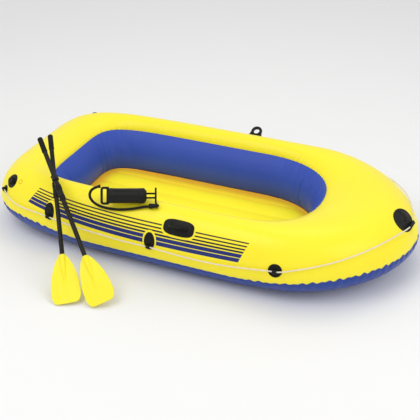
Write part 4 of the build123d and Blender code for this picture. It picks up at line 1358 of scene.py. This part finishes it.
# ---------------------------------------------------------------- oars
class BOAT_OT_oars(Operator):
    """Build the two oars: moulded blade, two tubes, sleeve, stopper ring and grip"""

    bl_idname = "boat.oars"
    bl_label = "Oars"

    def execute(self, context):
        for oar, (tip, grip_end) in OARS.items():
            along = (Vector(grip_end) - Vector(tip)).normalized()
            across = along.cross(BLADE_FACING).normalized()
            seat = axes_at(tip, across, along)
            lower, upper = f"{oar}_lower", f"{oar}_upper"
            pieces = (
                (self.blade(oar, seat, across, along, tip), "blade", lower, "blade"),
                (self.lower_tube(oar), "shaft", lower, "lower_shaft"),
                (self.sleeve(oar), "plastic", lower, "sleeve"),
                (self.upper_tube(oar), "shaft", upper, "upper_shaft"),
                (self.ring(oar), "rubber", upper, "stopper_ring"),
                (self.grip(oar), "grip", upper, "grip_cap"),
            )
            for piece, kind, body, node in pieces:
                if node != "blade":
                    place(piece, seat)
                finish_piece(piece, kind, body, [f"{oar}_{node}"])
        return {"FINISHED"}

    def blade(self, oar, seat, across, along, tip):
        """A flat blade with a rounded tip, a ridge that runs into the socket and two low ribs."""
        deselect()
        bpy.ops.mesh.primitive_grid_add(x_subdivisions=36, y_subdivisions=48, size=2, location=(0, 0, 0))
        plate = bpy.context.object
        plate.name = f"{oar}_plate"
        sides = (
            (0.0, 1.0), (0.045, 1.0), (0.085, 0.985), (0.120, 0.95),
            (0.155, 0.855), (0.190, 0.72), (0.235, 0.48), (0.265, 0.22),
        )
        points = []
        for vert in plate.data.vertices:
            across_share, up_share = vert.co.x, (vert.co.y + 1) / 2
            start = 0.045 * abs(across_share) ** 8 + 0.003 * across_share**2
            reach = start + (BLADE_LENGTH - start) * up_share
            half = BLADE_HALF_WIDTH * self.between(sides, reach)
            points.append((across_share * half, reach, across_share))
        front, back = [], []
        for x, reach, share in points:
            ridge = 0.0035 * exp(-((x / 0.009) ** 2)) * smooth_step(0.02, 0.12, reach)
            ribs = 0.0011 * exp(-(((abs(x) - 0.036 * self.between(sides, reach)) / 0.0032) ** 2))
            ribs *= smooth_step(0.02, 0.05, reach) * smooth_step(0.215, 0.17, reach)
            rim = 0.0016 * smooth_step(0.90, 0.97, abs(share)) * smooth_step(0.26, 0.22, reach)
            dish = 0.0055 * (share**2) * smooth_step(0.22, 0.06, reach) - 0.001
            half_thick = 0.0014 + ridge + ribs + rim
            front.append((x, dish + half_thick, reach))
            back.append((x, dish - half_thick, reach))
        count = len(front)
        faces = [tuple(face.vertices) for face in plate.data.polygons]
        edges = {}
        for face in faces:
            for first, second in zip(face, face[1:] + face[:1]):
                edges[(first, second)] = edges.get((first, second), 0) + 1
        rim_edges = [edge for edge in edges if (edge[1], edge[0]) not in edges]
        all_faces = [tuple(reversed(face)) for face in faces]
        all_faces += [tuple(index + count for index in face) for face in faces]
        all_faces += [(a, b, b + count, a + count) for a, b in rim_edges]
        bpy.data.objects.remove(plate)
        body = mesh_piece(f"{oar}_plate", front + back, all_faces)
        close_doubles(body)
        bevel_edges(body, 0.0008, 2, 50)
        radius = SHAFT_RADIUS
        socket = turned(f"{oar}_socket", [
            (0.0, 0.112), (0.0060, 0.119), (0.0105, 0.160),
            (0.0142, 0.205), (0.0158, 0.240), (0.0165, 0.252),
            (0.0172, 0.256), (0.0172, 0.263), (0.0165, 0.265),
            (radius + 0.0004, 0.265), (radius + 0.0004, 0.207),
            (0.0, 0.207),
        ], 40)
        piece = join([body, socket], f"{oar}_blade_moulding")
        place(piece, axes_at(tip, across, along))
        return piece

    def between(self, table, value):
        for (low, first), (high, second) in zip(table, table[1:]):
            if value <= high:
                share = smooth_step(0, 1, (value - low) / (high - low)) * 0.3
                share += 0.7 * (value - low) / (high - low)
                return first + (second - first) * max(share, 0)
        return table[-1][1]

    def tube(self, name, waist, foot, low, waist_low, waist_high, high, top):
        """A hollow tube with a shallow waist between its two ends."""
        radius = SHAFT_RADIUS
        inner, narrow = radius - 0.0016, radius - waist
        return turned(name, [
            (inner, foot), (radius, foot), (radius, low), (narrow, waist_low), (narrow, waist_high),
            (radius, high), (radius, top), (inner, top), (inner, foot),
        ], 40)

    def lower_tube(self, oar):
        return self.tube(f"{oar}_lower_tube", 0.00035, 0.206, 0.270, 0.271, 0.5975, 0.5985, 0.645)

    def upper_tube(self, oar):
        return self.tube(f"{oar}_upper_tube", 0.0003, 0.646, 0.7005, 0.7015, 0.898, 0.899, 0.978)

    def ribs(self, count, start, pitch, outer, inner, steps):
        """The profile of a row of low rings: each one's outer face, then the valley after it."""
        profile = []
        for index in range(count):
            height = start + index * pitch
            profile += [(outer, height), (outer, height + steps[0])]
            profile += [(inner, height + steps[1]), (inner, height + steps[2])]
        return profile

    def sleeve(self, oar):
        radius = SHAFT_RADIUS
        rings = (0.0045, radius + 0.0035, radius + 0.0026, (0.0026, 0.0034, 0.0040))
        profile = [(radius, SLEEVE_START)]
        profile += self.ribs(6, SLEEVE_START + 0.001, *rings)
        profile += [(radius + 0.0024, 0.632), (radius + 0.0024, 0.662)]
        profile += self.ribs(6, 0.6625, *rings)
        profile += [(radius, SLEEVE_START + SLEEVE_LENGTH), (radius, SLEEVE_START)]
        tube = turned(f"{oar}_sleeve_tube", profile, 40)
        button = turned(f"{oar}_button", [
            (0.0, 0.0), (0.0042, 0.0), (0.0042, 0.0022), (0.0030, 0.0032), (0.0, 0.0036),
        ], 20)
        place(button, axes_at((0, -radius - 0.0014, 0.655), (1, 0, 0), (0, -1, 0)))
        return join([tube, button], f"{oar}_joining_sleeve")

    def ring(self, oar):
        radius = SHAFT_RADIUS
        return turned(f"{oar}_drip_ring", [
            (radius, 0.7195), (0.0150, 0.7195), (0.0160, 0.7205),
            (0.0186, 0.7215), (0.0194, 0.7240), (0.0196, 0.7260),
            (0.0194, 0.7280), (0.0186, 0.7305), (0.0160, 0.7315),
            (0.0150, 0.7325), (radius, 0.7325), (radius, 0.7195),
        ], 44)

    def grip(self, oar):
        radius = SHAFT_RADIUS
        profile = [
            (radius, 0.900), (radius + 0.0020, 0.900), (radius + 0.0026, 0.9012),
            (radius + 0.0026, 0.9050), (radius + 0.0016, 0.9060),
        ]
        profile += self.ribs(11, 0.9085, 0.0062, radius + 0.0019, radius + 0.0012, (0.0032, 0.0040, 0.0052))
        profile += [
            (radius + 0.0020, 0.978), (radius + 0.0018, 0.984), (radius - 0.0015, 0.9885), (0.0, 0.990),
        ]
        return turned(f"{oar}_hand_grip", profile, 40)


# ---------------------------------------------------------------- hand pump
class BOAT_OT_pump(Operator):
    """Build the hand pump: barrel, caps, foot loop, hose outlet and handle; the rods stay as imported"""

    bl_idname = "boat.pump"
    bl_label = "Hand Pump"

    def execute(self, context):
        heading, lean = radians(PUMP_HEADING), radians(PUMP_LEAN)
        axis = Vector((cos(heading), sin(heading), 0))
        up = Vector((-sin(heading) * sin(lean), cos(heading) * sin(lean), cos(lean)))
        seat = axes_at(PUMP_MIDDLE, up, axis)  # x up the loop, z along the rods

        barrel = turned("pump_barrel_tube", [
            (0.0375, -0.088), (0.0400, -0.088), (0.0400, -0.078), (0.0390, -0.0765), (0.0390, -0.0735),
            (0.0400, -0.072), (0.0400, -0.066), (0.0388, -0.0645), (0.0388, 0.0635), (0.0400, 0.065),
            (0.0400, 0.071), (0.0390, 0.0725), (0.0390, 0.0755), (0.0400, 0.077), (0.0400, 0.088),
            (0.0375, 0.088), (0.0375, -0.088),
        ], 64)
        strips = [self.rib(f"pump_rib_{index}", radians(90 * index + 45)) for index in range(4)]
        barrel = join([barrel, *strips], "pump_barrel_body")
        place(barrel, seat)
        finish_piece(barrel, "plastic", "pump", ["pump_barrel"])

        cap = turned("pump_nose_cone", [
            (0.0, 0.0882), (0.0396, 0.0882), (0.0400, 0.0888), (0.0400, 0.0905), (0.0388, 0.0918),
            (0.0300, 0.0985), (0.0262, 0.1022), (0.0240, 0.1030), (0.0, 0.1030),
        ], 56)
        ribs = []
        for index in range(16):
            turn = 2 * pi * index / 16
            rib = block(f"pump_cap_rib_{index}", (0.0016, 0.0030, 0.0028), (0.0393, 0, 0.0897), 0.0005, 1)
            place(rib, Matrix.Rotation(turn, 4, "Z"))
            ribs.append(rib)
        cap = join([cap, *ribs], "pump_nose")
        place(cap, seat)
        finish_piece(cap, "plastic", "pump", ["pump_front_cap"])

        self.foot_loop(seat)

        outlet_start = Vector(HOSE_POINTS[0])
        way = (outlet_start - Vector(HOSE_POINTS[1])).normalized()
        outlet = turned("pump_hose_collar", [
            (0.0, 0.0), (0.0082, 0.0), (0.0094, 0.0008),
            (0.0095, 0.0022), (0.0088, 0.0030), (0.0088, 0.0040),
            (0.0095, 0.0048), (0.0095, 0.0082), (0.0086, 0.0090), (0.0, 0.0090),
        ], 28)
        place(outlet, axes_at(outlet_start, way.cross(Vector((0, 0, 1))), way))
        finish_piece(outlet, "plastic", "pump", ["pump_hose_outlet"])

        handle = self.handle()
        place(handle, seat)
        finish_piece(handle, "plastic", "pump_rod", ["pump_handle"])
        return {"FINISHED"}

    def rib(self, name, turn):
        """A long raised strip on the barrel."""
        strip = block(name, (0.0014, 0.010, 0.124), (0.0389, 0, -0.0005), 0.0005, 2)
        place(strip, Matrix.Rotation(turn, 4, "Z"))
        return strip

    def foot_loop(self, seat):
        """The rear plate and the rounded frame that a foot holds down."""
        plate = turned("pump_rear_plate", [
            (0.0, -0.0920), (0.0392, -0.0920), (0.0400, -0.0912),
            (0.0400, -0.0884), (0.0396, -0.0880), (0.0, -0.0880),
        ], 56)
        deselect()
        bpy.ops.mesh.primitive_plane_add(size=1, location=(0, 0, 0))
        loop = bpy.context.object
        loop.name = "pump_loop_frame"
        loop.scale = (0.094, 0.044, 1)
        bpy.ops.object.transform_apply(location=True, rotation=True, scale=True)
        begin_edit(loop, "VERT")
        pick_verts(loop, lambda co: co.y < 0)
        bpy.ops.mesh.bevel(offset=0.017, segments=8, affect="VERTICES")
        bpy.ops.mesh.select_mode(type="FACE")
        bpy.ops.mesh.select_all(action="SELECT")
        bpy.ops.mesh.inset(thickness=0.0125)
        bpy.ops.mesh.delete(type="FACE")
        bpy.ops.mesh.select_all(action="SELECT")
        bpy.ops.mesh.extrude_region_move(TRANSFORM_OT_translate={"value": (0, 0, 0.013)})
        bpy.ops.mesh.select_all(action="SELECT")
        bpy.ops.mesh.normals_make_consistent(inside=False)
        end_edit()
        bevel_edges(loop, 0.0035, 4, 50)
        # The frame lies in the plane of x, up, and z, the rods' way.
        place(loop, Matrix.Translation((0, 0.0065, -0.114)) @ Matrix.Rotation(radians(90), 4, "X"))
        gussets = [
            block(f"pump_gusset_{index}", (0.006, 0.030, 0.010), (x, 0, -0.094), 0.0015)
            for index, x in enumerate((-0.030, 0.030))
        ]
        piece = join([plate, loop, *gussets], "pump_foot_frame")
        place(piece, seat)
        finish_piece(piece, "plastic", "pump", ["pump_foot_loop"])

    def handle(self):
        """A straight bar with rounded ends and a hub where the rods enter it."""
        bar = turned("pump_handle_bar", [
            (0.0, -0.0420), (0.0030, -0.0418), (0.0046, -0.0405),
            (0.0050, -0.0385), (0.0050, -0.0300), (0.0046, -0.0290),
            (0.0050, -0.0280), (0.0050, 0.0280), (0.0046, 0.0290), (0.0050, 0.0300), (0.0050, 0.0385),
            (0.0046, 0.0405), (0.0030, 0.0418), (0.0, 0.0420),
        ], 24)
        place(bar, Matrix.Translation((0, 0, 0.151)) @ Matrix.Rotation(radians(90), 4, "Y"))
        hub = block("pump_handle_hub", (0.036, 0.0118, 0.0080), (0, 0, 0.1502), 0.0022, 3)
        return join([bar, hub], "pump_hand_bar")


class BOAT_OT_carried(Operator):
    """Give every CAD node its finish, shown or hidden"""

    bl_idname = "boat.carried"
    bl_label = "Carried-over Nodes"

    def execute(self, context):
        for name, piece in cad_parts.items():
            material = MATERIALS["plastic"]
            for key, choice in (
                ("top_skin", "inside"), ("lower_skin", "lower"),
                ("bottom", "lower"), ("inner_wall", "wall"),
                ("chamber_divider", "inside"), ("floor_webs", "inside"), ("floor_sheet", "inside"),
                ("grab_line", "rubber"), ("blade", "blade"), ("shaft", "shaft"), ("grip", "grip"),
                ("pump_hose", "hose"), ("valve", "valve"), ("lug", "rubber"), ("clip", "rubber"),
                ("oarlock", "rubber"), ("bow_handle", "rubber"), ("stopper", "rubber"),
                ("pump_rods", "rod"), ("pump_piston", "rod"),
            ):
                if key in name:
                    material = MATERIALS[choice]
                    break
            piece.data.materials.clear()
            piece.data.materials.append(material)
        return {"FINISHED"}


# ---------------------------------------------------------------- stage
class BOAT_OT_stage(Operator):
    """Set the pale floor, the soft lights and the camera"""

    bl_idname = "boat.stage"
    bl_label = "Studio"

    def execute(self, context):
        colours = context.scene.boat_colours
        deselect()
        bpy.ops.mesh.primitive_plane_add(size=60, location=(0, 0, -0.0004))
        floor = bpy.context.object
        floor.name = "studio_floor"
        nodes = Nodes("studio_paper")
        pale, darker = tuple(colours.floor), tuple(part * 0.985 for part in colours.floor)
        nodes.set(Base_Color=nodes.mix(nodes.noise(3.0), pale, darker))
        nodes.set(Roughness=0.9)
        floor.data.materials.append(nodes.material)

        world = bpy.data.worlds.new("studio_world")
        context.scene.world = world
        context.scene.view_settings.view_transform = "Standard"
        world.use_nodes = True
        background = world.node_tree.nodes["Background"]
        background.inputs["Color"].default_value = (1.0, 1.0, 1.0, 1.0)
        background.inputs["Strength"].default_value = WORLD_STRENGTH

        for name, place_at, size, watts in LIGHTS:
            deselect()
            bpy.ops.object.light_add(type="AREA", location=place_at)
            light = bpy.context.object
            light.name = name
            light.data.energy = watts
            light.data.size = size
            way = CAMERA_TARGET - Vector(place_at)
            light.rotation_euler = way.to_track_quat("-Z", "Y").to_euler()

        back, right = CAMERA_BACK.normalized(), CAMERA_RIGHT.normalized()
        view = Matrix((right, back.cross(right), back)).transposed().to_4x4()
        view.translation = CAMERA_TARGET + back * CAMERA_DISTANCE
        deselect()
        bpy.ops.object.camera_add()
        camera = bpy.context.object
        camera.name = "studio_camera"
        camera.matrix_world = view
        camera.data.sensor_width = 36.0
        camera.data.lens = CAMERA_LENS
        camera.data.shift_y = CAMERA_SHIFT
        camera.data.clip_end = 200.0
        context.scene.camera = camera
        return {"FINISHED"}


class BOAT_PT_parts(Panel):
    """Lists the boat's sizes, colours and parts"""

    bl_idname = "BOAT_PT_parts"
    bl_label = "Inflatable Boat"
    bl_space_type = "VIEW_3D"
    bl_region_type = "UI"
    bl_category = "Boat"

    def draw(self, context):
        for group in (context.scene.boat_sizes, context.scene.boat_colours):
            for name in group.bl_rna.properties.keys():
                if name not in {"rna_type", "name"}:
                    self.layout.prop(group, name)
        for operator in STEPS:
            self.layout.operator(operator.bl_idname)


STEPS = (
    BOAT_OT_stage, BOAT_OT_hose, BOAT_OT_grab_lines, BOAT_OT_hull, BOAT_OT_floor, BOAT_OT_fittings,
    BOAT_OT_valves, BOAT_OT_oars, BOAT_OT_pump, BOAT_OT_carried,
)
CLASSES = (BoatColours, BoatSizes, *STEPS, BOAT_PT_parts)


def register():
    for kind in CLASSES:
        bpy.utils.register_class(kind)
    bpy.types.Scene.boat_colours = PointerProperty(type=BoatColours)
    bpy.types.Scene.boat_sizes = PointerProperty(type=BoatSizes)


def unregister():
    del bpy.types.Scene.boat_sizes
    del bpy.types.Scene.boat_colours
    for kind in reversed(CLASSES):
        bpy.utils.unregister_class(kind)


def main():
    register()
    make_materials(bpy.context.scene.boat_colours)
    bpy.ops.boat.stage()
    bpy.ops.boat.hose()
    bpy.ops.boat.grab_lines()
    bpy.ops.boat.hull()
    bpy.ops.boat.floor()
    bpy.ops.boat.fittings()
    bpy.ops.boat.valves()
    bpy.ops.boat.oars()
    bpy.ops.boat.pump()
    bpy.ops.boat.carried()


if __name__ == "__main__":
    main()
